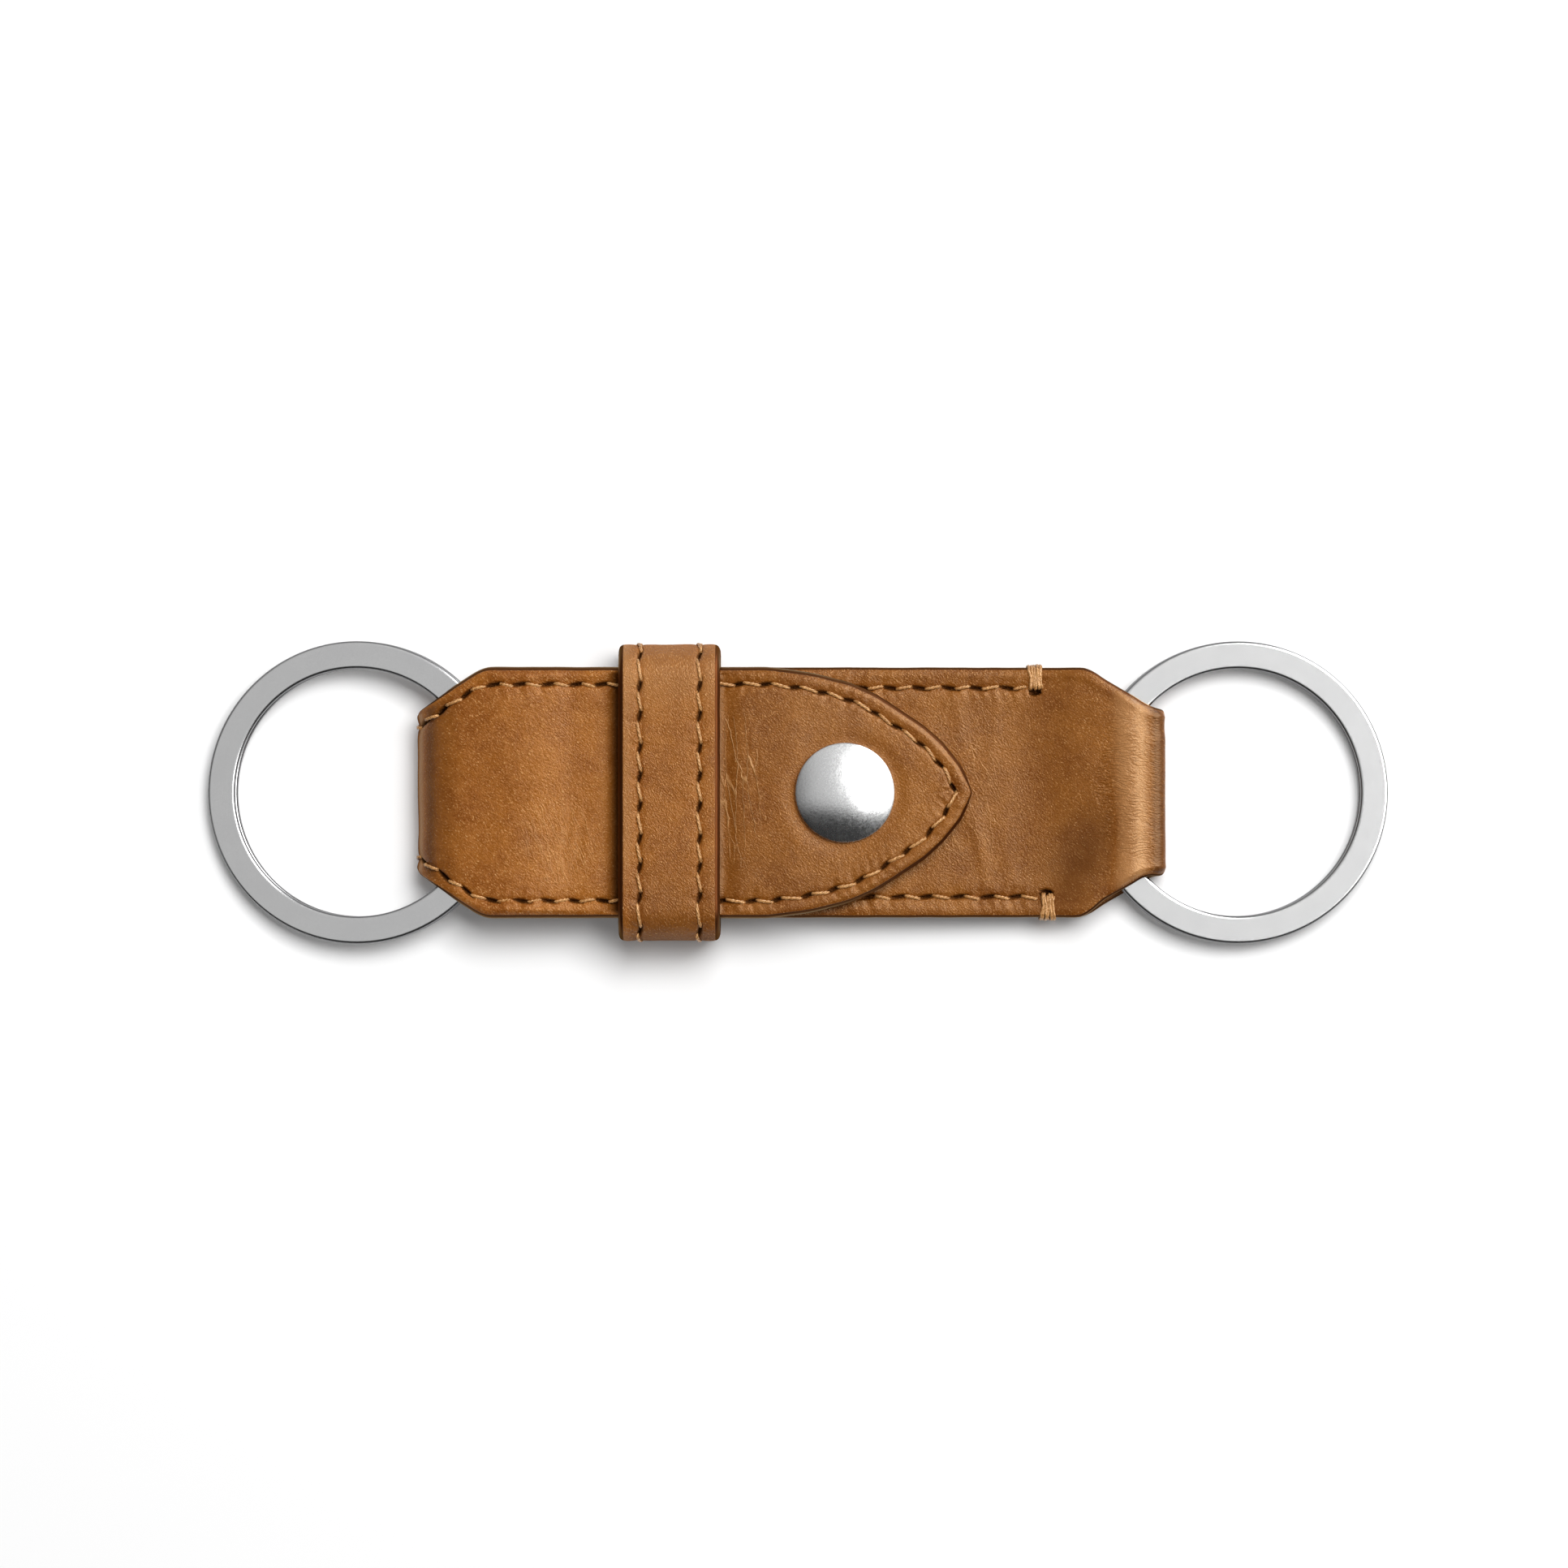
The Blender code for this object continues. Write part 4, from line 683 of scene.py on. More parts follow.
# Each piece's copy of the leather has its own tone, lighter on the loops and keeper and darker on the tongue and
# panel: painted light
leatherLoop = leatherMaterial("leatherLoop", paintedLightTone=1.22, grain=1.45, cracks=[{
    "centre": (12.8, -5.5), "reach": (4.6, 5.0), "cells": (1.7, 0.16), "turn": math.radians(-20), "sway": 0.5,
    "width": 0.10, "depth": -0.24}])
leatherTongue = leatherMaterial("leatherTongue", paintedLightTone=0.90, grain=1.1, cracks=[{
    "centre": (24.6, 1.0), "reach": (2.6, 9.5), "cells": (1.0, 0.13), "turn": math.radians(-6), "sway": 0.5,
    "width": 0.045, "depth": -0.60}])
leatherPanel = leatherMaterial("leatherPanel", paintedLightTone=0.89, grain=1.15, cracks=[{
    "centre": (55.0, 0.5), "reach": (2.6, 9.5), "cells": (0.55, 3.0), "turn": 0.0, "sway": 0.6,
    "width": 0.22, "depth": 0.50}, {
    "centre": (72.0, 1.0), "reach": (5.0, 9.5), "cells": (1.0, 0.22), "turn": math.radians(-24), "sway": 0.6,
    "width": 0.07, "depth": -0.16}])
leatherKeeper = leatherMaterial("leatherKeeper", paintedLightTone=1.12, grain=1.8)

thread = {
    "dark": (0.30, 0.125, 0.028, 1), "light": (0.64, 0.36, 0.15, 1), "stain": (0.24, 0.09, 0.016, 1),
    "sheen": (1, 0.9, 0.75, 1), "ior": 1.6, "gloss": (0.22, 0.38), "bump": 0.00006,
}
threadTan, paint = newMaterial("threadTan", IOR=thread["ior"], Specular_Tint=thread["sheen"])
placeMm = paint.inMillimetres()
fibre = paint.noise(placeMm, 6.0, 3.0, 0.6)
stain = paint.noise(placeMm, 0.7).ramp(0.35, 0.7) * 0.4
paint.finish(
    Base_Color=stain.choose(fibre.ramp(0.3, 0.7).choose(thread["dark"], thread["light"]), thread["stain"]),
    Roughness=fibre.ramp(0.3, 0.7, *thread["gloss"]), Normal=paint.bump(fibre, 0.4, thread["bump"]))


def strapRelief(rows, rowInset, seed, shape, cushion=0.10):
    # Relief of an outer face: its rows, a cushion on both sides of them, uneven leather and its own shape
    def relief(spots, insets):
        depth, dark = sunk(spots, rows)
        lift = 0.10 * blotches(spots, 7.5, seed) + 0.035 * blotches(spots, 2.6, seed + 3)
        lift += cushion * hill(insets, rowInset * 0.42, 0.55) * (1 + 0.7 * blotches(spots, 1.7, seed + 5))
        lift += cushion * 0.6 * hill(insets, rowInset + 1.5, 1.0) * (1 + 0.8 * blotches(spots, 1.5, seed + 8))
        bent, shade = shape(spots)
        return (lift + bent) * np.clip(insets / 0.9, 0, 1), depth, dark, shade
    return relief


# Left loop: from under the keeper over the hump, round the ring and back beneath. It swells over the ring,
# dips beside the fold and tucks in at the keeper; its painted light above 0 is painted shade and below 0 a
# painted highlight
loop = {
    "inset": 1.9, "pitch": 2.9, "rowEnd": 0.6, "rowGap": (4.5, 6.0),
    "swells": ((0.22, -28.6, 5.0), (-0.36, -37.6, 1.5), (-0.60, -18.4, 1.5)),
    "hollow": (0.10, -32.5, 2.2, 6.0),
    "wrinkles": (-24.0, -4.5), "wrinkleTurn": (0.94, 0.34), "wrinkleHeight": 0.045,
    "shades": ((1.3, -18.2, 1.5), (0.80, -38.1, 0.6), (0.25, -36.8, 1.4)), "foldHighlight": (1.3, 0.7, 1.3),
}
leftCentre, leftR = np.array(strap["leftCentre"]), strap["leftR"]
upLeft = np.array((-math.sin(droop), math.cos(droop)))
leftRoute = Route(
    softened([
        ((seamX, frontHigh), 0), ((strap["levelLeft"], frontHigh), bends["loop"]),
        (onDroop(strap["leftDeep"] + 1.0, leftR), bends["crest"]), (leftCentre + upLeft * leftR, 0)])
    + arc(leftCentre, leftR, halfPi + droop, 3 * halfPi + droop)
    + softened([
        (leftCentre - upLeft * leftR, 0), (onDroop(strap["leftDeep"], -leftR), bends["loop"]),
        ((strap["levelLeft"], level), bends["loop"]), ((seamX, level), 0)]))
leftOutline = strapOutline(leftRoute)
tipS = leftRoute.s[np.argmin(leftRoute.line[:, 0])]
leftRows = [
    rowBeside(leftOutline, loop["inset"], side, start, end, loop["pitch"], side)
    for start, end in ((loop["rowEnd"], tipS + loop["rowGap"][0]),
                       (tipS + loop["rowGap"][1], leftRoute.s[-1] - loop["rowEnd"]))
    for side in (1, -1)]


def leftShape(spots):
    s, y = spots.T
    x = leftRoute.xOf(s)
    depth, middle, width, height = loop["hollow"]
    lift = hills(x, loop["swells"]) - depth * hill(x, middle, width) * hill(y, 0, height)
    # Slanting wrinkles at the lower right
    fromX, fromY = x - loop["wrinkles"][0], y - loop["wrinkles"][1]
    c, d = loop["wrinkleTurn"]
    u, v = fromX * c - fromY * d, fromX * d + fromY * c
    ripple = np.sin(u * 3.9 + 1.4 * np.sin(v * 0.55)) * hill(u, 0.4, 2.6) * hill(v, 0, 4.2)
    lift = lift + loop["wrinkleHeight"] * ripple
    # Painted shade beside the keeper and in the dip by the fold, and painted light on the fold's edge, which
    # faces away from the lamp
    highlight, middle, width = loop["foldHighlight"]
    shade = hills(x, loop["shades"]) - highlight * hill(tipS - s, middle, width)
    front = s < tipS
    return np.where(front, lift, 0), np.where(front, shade, 0)


leftLoop = leather(
    "leftLoopLeather", leftRoute, leftOutline, -leaf, leaf, leatherLoop,
    strapRelief(leftRows, loop["inset"], 1.7, leftShape), alongStrap)
leftThread = stitches("leftLoopStitching", leftRoute, leftRows, leaf + threadLift, alongStrap, 11)
for piece, slotName in ((leftLoop, "leather"), (leftThread, "thread")):
    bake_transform(piece)
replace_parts(leftLoop, "left_loop_outer", "left_loop_lining", "front_outer", "front_lining")
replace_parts(leftThread, "left_loop_thread_lower", "left_loop_thread_upper")
print("left loop is made")


# Tongue: from under the keeper to its point. Its cracks lie across the leather beside the keeper, where it
# bends, each (x, sway, reach, middle, depth)
tongue = {
    "tip": 18.3, "point": 21.3, "tipR": 0.45, "tipHalf": 0.5, "tipAngle": math.radians(158), "step": 0.17,
    "inset": 1.8, "pitch": 2.95, "visible": 0.54, "rowEnd": 0.6,
    "shares": ((0, 0), (0.05, 0.185), (0.141, 0.374), (0.235, 0.517), (0.359, 0.654),
               (0.48, 0.784), (0.605, 0.875), (0.79, 0.953), (1, 1)),
    "snapX": 4.9, "swell": (0.12, 9.0, 8.0), "tuck": (-0.35, -7.6, 1.0), "dish": (-0.18, 5.5, 0.9),
    "cracks": ((-7.1, 0.30, 9.0, 3.0, 0.02), (-6.2, 0.45, 8.0, 0.5, 0.03), (-5.4, 0.50, 7.0, 3.6, 0.03),
               (-4.6, 0.55, 6.0, 0.6, 0.03), (-3.8, 0.60, 5.0, -2.6, 0.02)),
}
tongueRoute = Route(softened([
    (onSlope(tongue["tip"], tongueHigh), 0), (slopeCorner(tongueHigh), bends["slope"]), ((seamX, frontHigh), 0)]))
tongueEnd = tongueRoute.s[-1]


def tongueStations():
    # From the rounded point along its curved edge to the full width, then straight on
    shares = np.linspace(0.02, 1, 80) ** 1.4
    edgeS = tongueRoute.sOf(tongue["tip"] - tongue["point"] * shares)
    widening = (strap["half"] - tongue["tipHalf"]) * shareOf(tongue["shares"], shares)
    edgeHalf = smoothed(tongue["tipHalf"] + widening, 5)
    points = arc((tongue["tipR"], 0.0), tongue["tipR"], math.pi, tongue["tipAngle"], 5)
    points += [(s, w) for s, w in zip(edgeS, edgeHalf) if s > 0.5]
    points += [(s, strap["half"]) for s in np.arange(edgeS[-1] + stationStep, tongueEnd, stationStep)]
    points = np.array(points + [(tongueEnd, strap["half"])])
    run = runOf(points)
    outline = pointAt(points, run, np.linspace(0, run[-1], int(run[-1] / tongue["step"])))
    outline[12:, 1] = smoothed(outline[:, 1], 9)[12:]  # the tip stays sharp
    return outline


def insetLine(outline, inset):
    along = unit(np.gradient(outline, axis=0))
    line = outline + np.stack([along[:, 1], -along[:, 0]], 1) * inset
    keep = []
    for spot in line[line[:, 1] > 0]:
        if not keep or spot[0] > keep[-1][0] + 0.02:
            keep.append(spot)
    return np.array(keep)


tongueOutline = tongueStations()
oneSide = insetLine(tongueOutline, tongue["inset"])
oneSide = oneSide[oneSide[:, 0] < tongueEnd - tongue["rowEnd"]]
apex = np.array([[oneSide[0, 0] - 0.2, 0.0]])
wholeRow = np.vstack([oneSide[::-1], apex, oneSide * (1, -1)])
tongueRows = [Row(wholeRow, tongue["pitch"], visible=tongue["visible"])]


def tongueShape(spots):
    x, y = tongueRoute.xOf(spots[:, 0]), spots[:, 1]
    swell, reachX, reachY = tongue["swell"]
    lift = swell * hill(x, tongue["snapX"], reachX) * hill(y, 0, reachY) + hills(x, [tongue["tuck"]])
    lift += hills(np.hypot(x - tongue["snapX"], y), [tongue["dish"]])
    for at, sway, reach, middle, depth in tongue["cracks"]:
        bent = at + 0.055 * (6 - y) * sway * 2 + sway * 0.5 * np.sin(y * 0.9 + at * 3)
        bent = bent + 0.12 * np.sin(y * 3.1 + at)
        crack = hill(x, bent + 0.36, 0.22) * 0.7 - hill(x, bent, 0.16)
        lift = lift + depth * crack * hill(y, middle, reach * 0.62)
    # Painted shade beside the keeper and towards the -Y edge, a faint painted highlight on the +Y side
    shade = 0.5 * hill(x, -8.4, 0.6) + 0.12 * hill(y, -9.0, 4.0) - 0.10 * hill(x, 3.0, 6.0) * hill(y, 7.0, 5.0)
    return lift, shade


tonguePiece = leather(
    "tongueLeather", tongueRoute, tongueOutline, -leaf, leaf, leatherTongue,
    strapRelief(tongueRows, tongue["inset"], 4.2, tongueShape, cushion=0.06), alongStrap)
tongueThread = stitches("tongueStitching", tongueRoute, tongueRows, leaf + threadLift, alongStrap, 23)
for piece, slotName in ((tonguePiece, "leather"), (tongueThread, "thread")):
    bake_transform(piece)
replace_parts(tonguePiece, "tongue_outer", "tongue_lining")
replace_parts(tongueThread, "tongue_thread", "front_thread_lower", "front_thread_upper")
print("tongue is made")


# Back, right loop and front panel: one ply that goes on round the right ring and returns beneath the tongue.
# Its folds beside the tongue are (x, lean, middle, reach, height)
panel = {
    "inset": 2.15, "pitch": 3.05, "rowStart": 0.9, "rowEnd": 1.0,
    "upperTack": 25.1, "lowerTack": 26.4, "tackHalf": 0.62, "tackSlits": (-0.22, 0.0, 0.22),
    "backInset": 1.9, "backPitch": 2.95, "backRowEnd": 0.6, "backUpper": 24.2, "backLower": 25.5,
    "hollow": (30.2, -5.5), "hollowTurn": (0.86, 0.50),
    "folds": ((17.0, -0.10, 7.0, 3.4, 0.09), (19.2, -0.16, -5.5, 4.0, 0.10), (20.6, 0.12, 6.0, 4.4, 0.06),
              (17.6, -0.35, -2.0, 3.4, 0.08), (22.3, -0.22, -8.0, 3.2, 0.06)),
    # Painted highlights on the barrel, left of it and at the fold's edge; painted shade just right of the barrel
    # and faintly near the tacks
    "shades": ((-1.0, 35.95, 0.55), (0.08, 26.0, 7.0), (-0.80, 34.4, 1.1), (0.85, 36.90, 0.26),
               (-1.2, 37.55, 0.22)),
}
rightCentre, rightR = np.array(strap["rightCentre"]), strap["rightR"]
upRight = np.array((math.sin(slope), math.cos(slope)))
rightRoute = Route(
    softened([
        ((seamX, level), 0), (slopeCorner(0), bends["slope"]), (rightCentre - upRight * rightR, 0)])
    + arc(rightCentre, rightR, -halfPi - slope, halfPi - slope)
    + softened([
        (rightCentre + upRight * rightR, 0), (onSlope(strap["rightDeep"] + 0.5, 2 * rightR), bends["panel"]),
        (onSlope(strap["rightDeep"] - 5.5, strap["layer"]), bends["panel"]),
        (slopeCorner(strap["layer"]), bends["slope"]), ((strap["panelEnd"], level + strap["layer"]), 0)]))
rightOutline = strapOutline(rightRoute)
rightTipS = rightRoute.s[np.argmax(rightRoute.line[:, 0])]
panelRows, backRows = [], []
for side, tackX, backX in (
        (1, panel["upperTack"], panel["backUpper"]), (-1, panel["lowerTack"], panel["backLower"])):
    tackS, backS = rightRoute.sOf(tackX, rightTipS), rightRoute.sOf(backX, 0, rightTipS)
    panelRows.append(rowBeside(
        rightOutline, panel["inset"], side, tackS + panel["rowStart"], rightRoute.s[-1] - panel["rowEnd"],
        panel["pitch"], -side))
    for k in panel["tackSlits"]:
        panelRows[-1].extra.append((
            np.array((tackS - panel["tackHalf"], side * (10.72 + k))),
            np.array((tackS + panel["tackHalf"], side * (10.62 + k)))))
    backRows.append(rowBeside(
        rightOutline, panel["backInset"], side, panel["backRowEnd"], backS, panel["backPitch"], side))


def rightShape(spots):
    s, y = spots.T
    x = rightRoute.xOf(s)
    lower = 1 / (1 + np.exp((y + 1.0) / 2.2))
    lift = (0.54 + 0.08 * lower) * hill(x, 34.9, 1.5)
    lift = lift + 0.62 * hill(s - rightTipS, 0.80 * rightR, 0.37 * rightR)
    # A soft hollow low on the right, and folds beside the tongue
    fromX, fromY = x - panel["hollow"][0], y - panel["hollow"][1]
    c, d = panel["hollowTurn"]
    slant, along = fromX * c - fromY * d, fromX * d + fromY * c
    lift = lift - 0.50 * hill(slant, -0.4, 2.3) * hill(along, -1.6, 4.8)
    for at, lean, middle, reach, height in panel["folds"]:
        lift = lift + height * hill(x, at + lean * (y - middle), 0.8) * hill(y, middle, reach)
    # Painted shade in the hollow, plus the barrel's painted highlights and shade
    shade = 0.55 * hill(slant, 0.6, 3.2) * hill(along, -1.0, 6.5) + hills(x, panel["shades"])
    front = s > rightTipS
    return np.where(front, lift, 0.0), np.where(front, shade, 0.0)


rightS = rightOutline[:, 0]
rightX = rightRoute.at(rightS, leaf)[0]
narrowing = np.clip((rightX - 29.5) / 2.5, 0, 1) * np.clip((38.2 - rightX) / 1.6, 0, 1) * (rightS > rightTipS)
rightLowSide = rightOutline - np.stack([0 * rightS, 0.65 * smoothed(narrowing, 9)], 1)
rightLoop = leather(
    "backAndPanelLeather", rightRoute, rightOutline, 0.02, leaf, leatherPanel,
    strapRelief(panelRows + backRows, 2.0, 8.4, rightShape), alongStrap, lowSide=rightLowSide, rim=0.5)
panelThread = stitches("panelStitching", rightRoute, panelRows + backRows, leaf + threadLift, alongStrap, 37)
for piece, slotName in ((rightLoop, "leather"), (panelThread, "thread")):
    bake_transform(piece)
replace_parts(rightLoop, "back_outer", "right_loop_leather", "front_panel")
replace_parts(panelThread, "panel_thread_lower", "panel_thread_upper", "back_thread_lower", "back_thread_upper")

liningRoute = Route(softened([
    ((seamX, level), 0), (slopeCorner(0), bends["slope"]), (onSlope(panel["lowerTack"], 0), 0)]))
liningS = np.arange(0, liningRoute.s[-1], 0.5)


def plainRelief(spots, insets):
    return 0.02 * blotches(spots, 3.0, 2.2), 0.0, 0.0, 0.0


backLining = leather(
    "backLining", liningRoute, np.stack([liningS, np.full(len(liningS), strap["half"])], 1),
    -leaf, -0.02, leatherPanel, plainRelief, alongStrap, midStep=1.0, nearStep=0.5)
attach(backLining, "strap")
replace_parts(backLining, "back_lining")
print("back, right loop and panel are made")


# Keeper: a closed band round everything, stitched near both edges
keeper = {
    "x": -13.48, "half": 5.325, "side": 14.625, "low": 0.925, "high": 10.375, "corner": 2.6, "leaf": 0.925,
    "inset": 2.2, "pitch": 3.1, "slant": 1.5, "first": 0.4, "visible": 0.56,
}
corner = keeper["corner"]
sideY, topZ, lowZ = keeper["side"] - corner, keeper["high"] - corner, keeper["low"] + corner
keeperPoints = []
for y, z, angle in ((sideY, lowZ, -halfPi), (sideY, topZ, 0), (-sideY, topZ, halfPi), (-sideY, lowZ, math.pi)):
    keeperPoints += arc((y, z), corner, angle, angle + halfPi, 14)
keeperRoute = Route(keeperPoints, blur=1.6, closed=True)
around = keeperRoute.s[-1]
keeperS = np.linspace(0, around, int(around / stationStep))[:-1]
keeperOutline = np.stack([keeperS, np.full(len(keeperS), keeper["half"])], 1)
lineS = np.linspace(1.0, around + 1.0, 400)
keeperRows = []
for side in (-1, 1):
    line = np.stack([lineS, np.full(len(lineS), side * (keeper["half"] - keeper["inset"]))], 1)
    keeperRows.append(Row(line, keeper["pitch"], keeper["slant"], keeper["first"], keeper["visible"]))


def keeperRelief(spots, insets):
    # The rows run on past the start of the band, so they are looked up twice
    once, again = sunk(spots, keeperRows), sunk(spots + (around, 0), keeperRows)
    depth, dark = (np.maximum(*pair) for pair in zip(once, again))
    lift = 0.035 * blotches(spots, 4.5, 5.5) + 0.03 * blotches(spots, 1.8, 3.5)
    lift += 0.04 * hill(insets, 1.05, 0.6) + 0.02 * hill(insets, 3.6, 1.0) * (1 + blotches(spots, 1.6, 9.1))
    y = keeperRoute.xOf(spots[:, 0])
    # Painted shade on the keeper's -Y side, painted highlight along its left margin and on its +Y side
    shade = 0.35 * hill(y, -13.5, 5.0) - 0.40 * hill(spots[:, 1], -4.6, 0.6) - 0.30 * hill(y, 12.5, 3.0)
    return lift * np.clip(insets / 0.9, 0, 1), depth, dark, shade


keeperPiece = leather(
    "keeperLeather", keeperRoute, keeperOutline, -keeper["leaf"], keeper["leaf"], leatherKeeper, keeperRelief,
    roundTheStrap, rim=0.62, paintFrom=0.0)
keeperThread = stitches(
    "keeperStitching", keeperRoute, keeperRows, keeper["leaf"] + threadLift, roundTheStrap, 51)
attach(keeperPiece, "keeper")
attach(keeperThread, "keeper")
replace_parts(keeperPiece, "keeper_outer", "keeper_lining")
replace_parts(keeperThread, "keeper_thread_left", "keeper_thread_right")
print("keeper is made")


# Split rings: one flat band wound twice
rings = {
    "outer": 16.0, "band": 2.9, "turn": 0.9, "gap": 0.45, "corner": 0.30, "flatInset": 0.06,
    "ramp": math.radians(34), "end": math.radians(3), "steps": 150, "sharp": math.radians(50),
    "dark": (0.65, 0.65, 0.65, 1), "light": (0.695, 0.695, 0.695, 1), "cloud": (0.62, 0.62, 0.625, 1),
    # The wall colour is painted shade: side walls darker than the flat faces
    "wall": (0.12, 0.12, 0.124, 1), "gloss": (0.19, 0.25), "bump": 0.00004,
}
satinSteel, paint = newMaterial("satinSteel", Metallic=1.0)
placeMm = paint.inMillimetres()
blast = paint.noise(placeMm, 7.0, 3.0, 0.7)
cloud = paint.noise(placeMm, 0.35).ramp(0.3, 0.7) * 0.3
colour = cloud.choose(blast.ramp(0.3, 0.7).choose(rings["dark"], rings["light"]), rings["cloud"])
paint.finish(
    # Side walls take the darker wall colour, painted shade
    Base_Color=paint.attribute("wall").choose(colour, rings["wall"]),
    Roughness=blast.ramp(0.3, 0.7, *rings["gloss"]), Normal=paint.bump(blast, 0.03, rings["bump"]))


def splitRing(name, centre, tilt, start):
    halfBand, halfTurn, corner = rings["band"] / 2, rings["turn"] / 2, rings["corner"]
    section, wall = [], []
    for quarter, (sideX, sideY) in enumerate(((1, 1), (-1, 1), (-1, -1), (1, -1))):
        angles = [halfPi * (quarter + k / 4) for k in range(5)]
        for k, a in enumerate([angles[0]] + angles + [angles[-1]]):
            across = sideX * (halfBand - corner) + corner * math.cos(a)
            up = sideY * (halfTurn - corner) + corner * math.sin(a)
            if k in (0, 6):  # one more point just inside each flat keeps its shading level
                onFlat = abs(math.sin(a)) > 0.5
                across -= rings["flatInset"] * sideX if onFlat else 0
                up -= 0 if onFlat else rings["flatInset"] * sideY
            section.append((across, up))
            wall.append(min(max((abs(math.cos(a)) - 0.3) / 0.5, 0.0), 1.0))
    first, last = rings["end"], 2 * fullTurn - rings["ramp"] - rings["end"]
    count = int((last - first) / fullTurn * rings["steps"])
    verts = []
    for i in range(count + 1):
        angle = first + (last - first) * i / count
        share = min(max((angle - fullTurn + rings["ramp"]) / rings["ramp"], 0), 1)
        rise = (rings["turn"] + rings["gap"]) * (share * share * (3 - 2 * share) - 0.5)
        for across, up in section:
            r = rings["outer"] - halfBand + across
            verts.append((r * math.cos(angle + start), r * math.sin(angle + start), up + rise))
    x, y, z = np.array(verts).T
    c, s = math.cos(tilt), math.sin(tilt)
    points = np.stack([c * x + s * z, y, c * z - s * x], 1) + np.array(centre)
    return meshObject(name, points, ringFaces(count + 1, len(section)), satinSteel, rings["sharp"],
                      wall=np.tile(wall, count + 1))


leftRing = splitRing("leftRing", (-46.54, 0, 3.1422), -droop, math.radians(17))
rightRing = splitRing("rightRing", (46.54, 0, 2.1508), 0.054817, math.radians(197))
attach(leftRing, "ring_left")
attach(rightRing, "ring_right")
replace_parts(leftRing, "ring_left")
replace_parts(rightRing, "ring_right")
print("rings are made")


# Snap: a polished dome on the tongue, turned round the snap's sloping axis
snap = {
    "foot": (4.5798, 3.1010), "seat": 5.6, "radius": 5.25, "height": 1.65, "lip": 0.22, "steps": 96, "rings": 28,
    "colour": (0.76, 0.76, 0.76, 1), "gloss": (0.20, 0.30), "bump": 0.00007,
}
polishedSteel, paint = newMaterial("polishedSteel", Metallic=1.0, Base_Color=snap["colour"])
placeMm = paint.inMillimetres()
mottle, haze = paint.noise(placeMm, 3.4, 4.0, 0.7), paint.noise(placeMm, 0.5)
paint.finish(
    Roughness=mottle.ramp(0.3, 0.7, *snap["gloss"]) + haze.ramp(0.4, 0.7, 0, 0.04),
    Normal=paint.bump(mottle, 0.22, snap["bump"]))


def turnedCap(name):
    seat, radius, capTop = snap["seat"], snap["radius"], snap["seat"] + snap["height"]
    rise = snap["height"] - snap["lip"]
    ball = (radius ** 2 + rise ** 2) / (2 * rise)
    profile = []  # radius, and height above the back's glue line
    for k in range(snap["rings"] + 1):
        r = (radius - 0.09) * k / snap["rings"]
        profile.append((r, capTop - ball + math.sqrt(ball ** 2 - r ** 2)))
    brim = profile[-1][1]
    profile += [(radius - 0.03, brim - 0.05), (radius, brim - 0.13), (radius - 0.04, seat + 0.08),
                (radius - 0.14, seat), (0.0, seat)]
    r, height = np.array(profile).T
    footX, footZ = snap["foot"]
    verts, faces = [], []
    for i in range(snap["steps"]):
        a = fullTurn * i / snap["steps"]
        x, y = r * math.cos(a), r * math.sin(a)
        verts += list(np.stack([
            footX + math.cos(slope) * x + math.sin(slope) * height, y,
            footZ + math.cos(slope) * height - math.sin(slope) * x], 1))
        here, ahead = i * len(profile), (i + 1) % snap["steps"] * len(profile)
        faces += [(here + j, ahead + j, ahead + j + 1, here + j + 1) for j in range(len(profile) - 1)]
    return meshObject(name, verts, faces, polishedSteel)


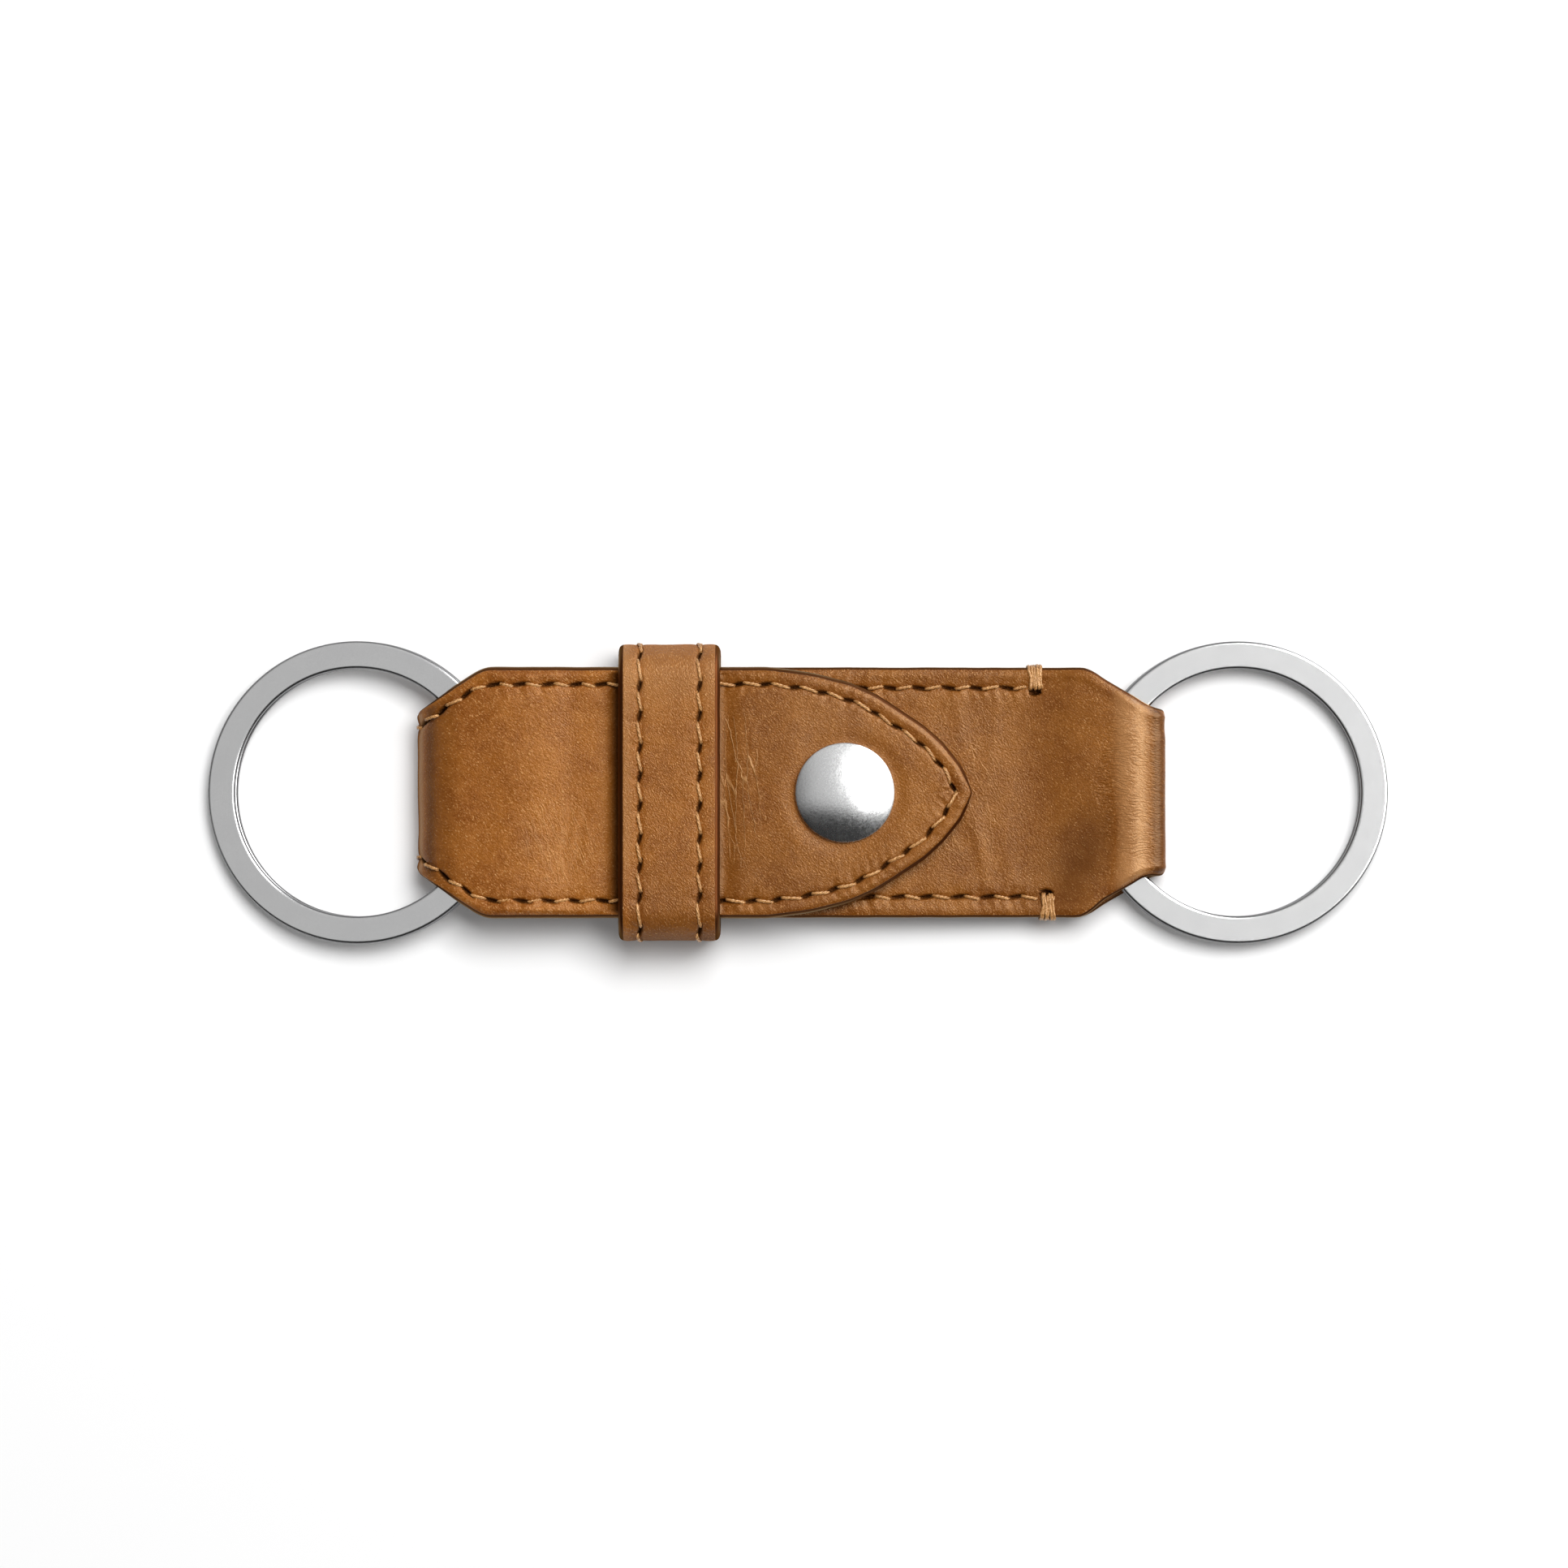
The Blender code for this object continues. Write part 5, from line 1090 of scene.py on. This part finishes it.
snapCap = turnedCap("snapCap")
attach(snapCap, "tongue")
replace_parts(snapCap, "snap_cap")
for node in ("snap_cap_post", "snap_socket", "snap_spring", "snap_stud", "snap_stud_post"):
    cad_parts[node].data.materials.clear()
    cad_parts[node].data.materials.append(polishedSteel)
print("snap is made")


# Bar tacks: thread wound over the edge where the panel's rows end
tacks = {
    "strand": 0.145, "strands": 8, "half": 0.66, "inner": 10.85, "outer": 13.2, "over": 0.16, "steps": 60,
    "lean": 0.25, "waist": 0.22,
}


def barTack(name, x, side, seed):
    chance = random.Random(seed)
    verts, faces = [], []
    zTop = rightRoute.at(rightRoute.sOf(x, rightTipS), leaf)[1]
    zLow = rightRoute.at(rightRoute.sOf(x, 0, rightTipS), leaf)[1]
    over, outer, inner = tacks["over"], tacks["outer"], tacks["inner"]
    for k in range(tacks["strands"]):
        at = (k / (tacks["strands"] - 1) * 2 - 1) * tacks["half"]
        lean = chance.uniform(-tacks["lean"], tacks["lean"])
        start = inner + chance.uniform(-0.2, 0.25)
        lift = over + chance.uniform(-0.05, 0.10)
        path = np.array(softened([
            ((start, zTop - 0.25), 0), ((start + 0.1, zTop + lift), 0.25),
            ((outer + lift, zTop + lift - 0.1), 0.9), ((outer + lift, zLow - lift + 0.1), 0.9),
            ((start + 0.1, zLow - lift), 0.25), ((start, zLow + 0.25), 0)], steps=8))
        run = runOf(path)
        steps = np.linspace(0, run[-1], tacks["steps"])
        y, z = pointAt(path, run, steps).T
        share = np.clip((y - inner) / (outer - inner), 0, 1)
        waist = 1 - tacks["waist"] * np.sin(math.pi * np.clip(share * 1.15, 0, 1))
        wound = x + at * waist + lean * (share - 0.5) + 0.03 * np.sin(steps * 5 + k)
        core = np.stack([wound, y * side, z], 1)
        thick = tacks["strand"] * (1 + 0.12 * np.sin(np.arange(tacks["steps"]) * 1.9 + k))
        addTube(verts, faces, core, thick, *besideLine(core, (1.0, 0, 0)), stitch["sides"])
    made = meshObject(name, verts, faces, threadTan)
    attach(made, "strap")
    return made


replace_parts(barTack("barTackUpper", panel["upperTack"], 1, 3), "bar_tack_upper")
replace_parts(barTack("barTackLower", panel["lowerTack"], -1, 4), "bar_tack_lower")
print("bar tacks are made")
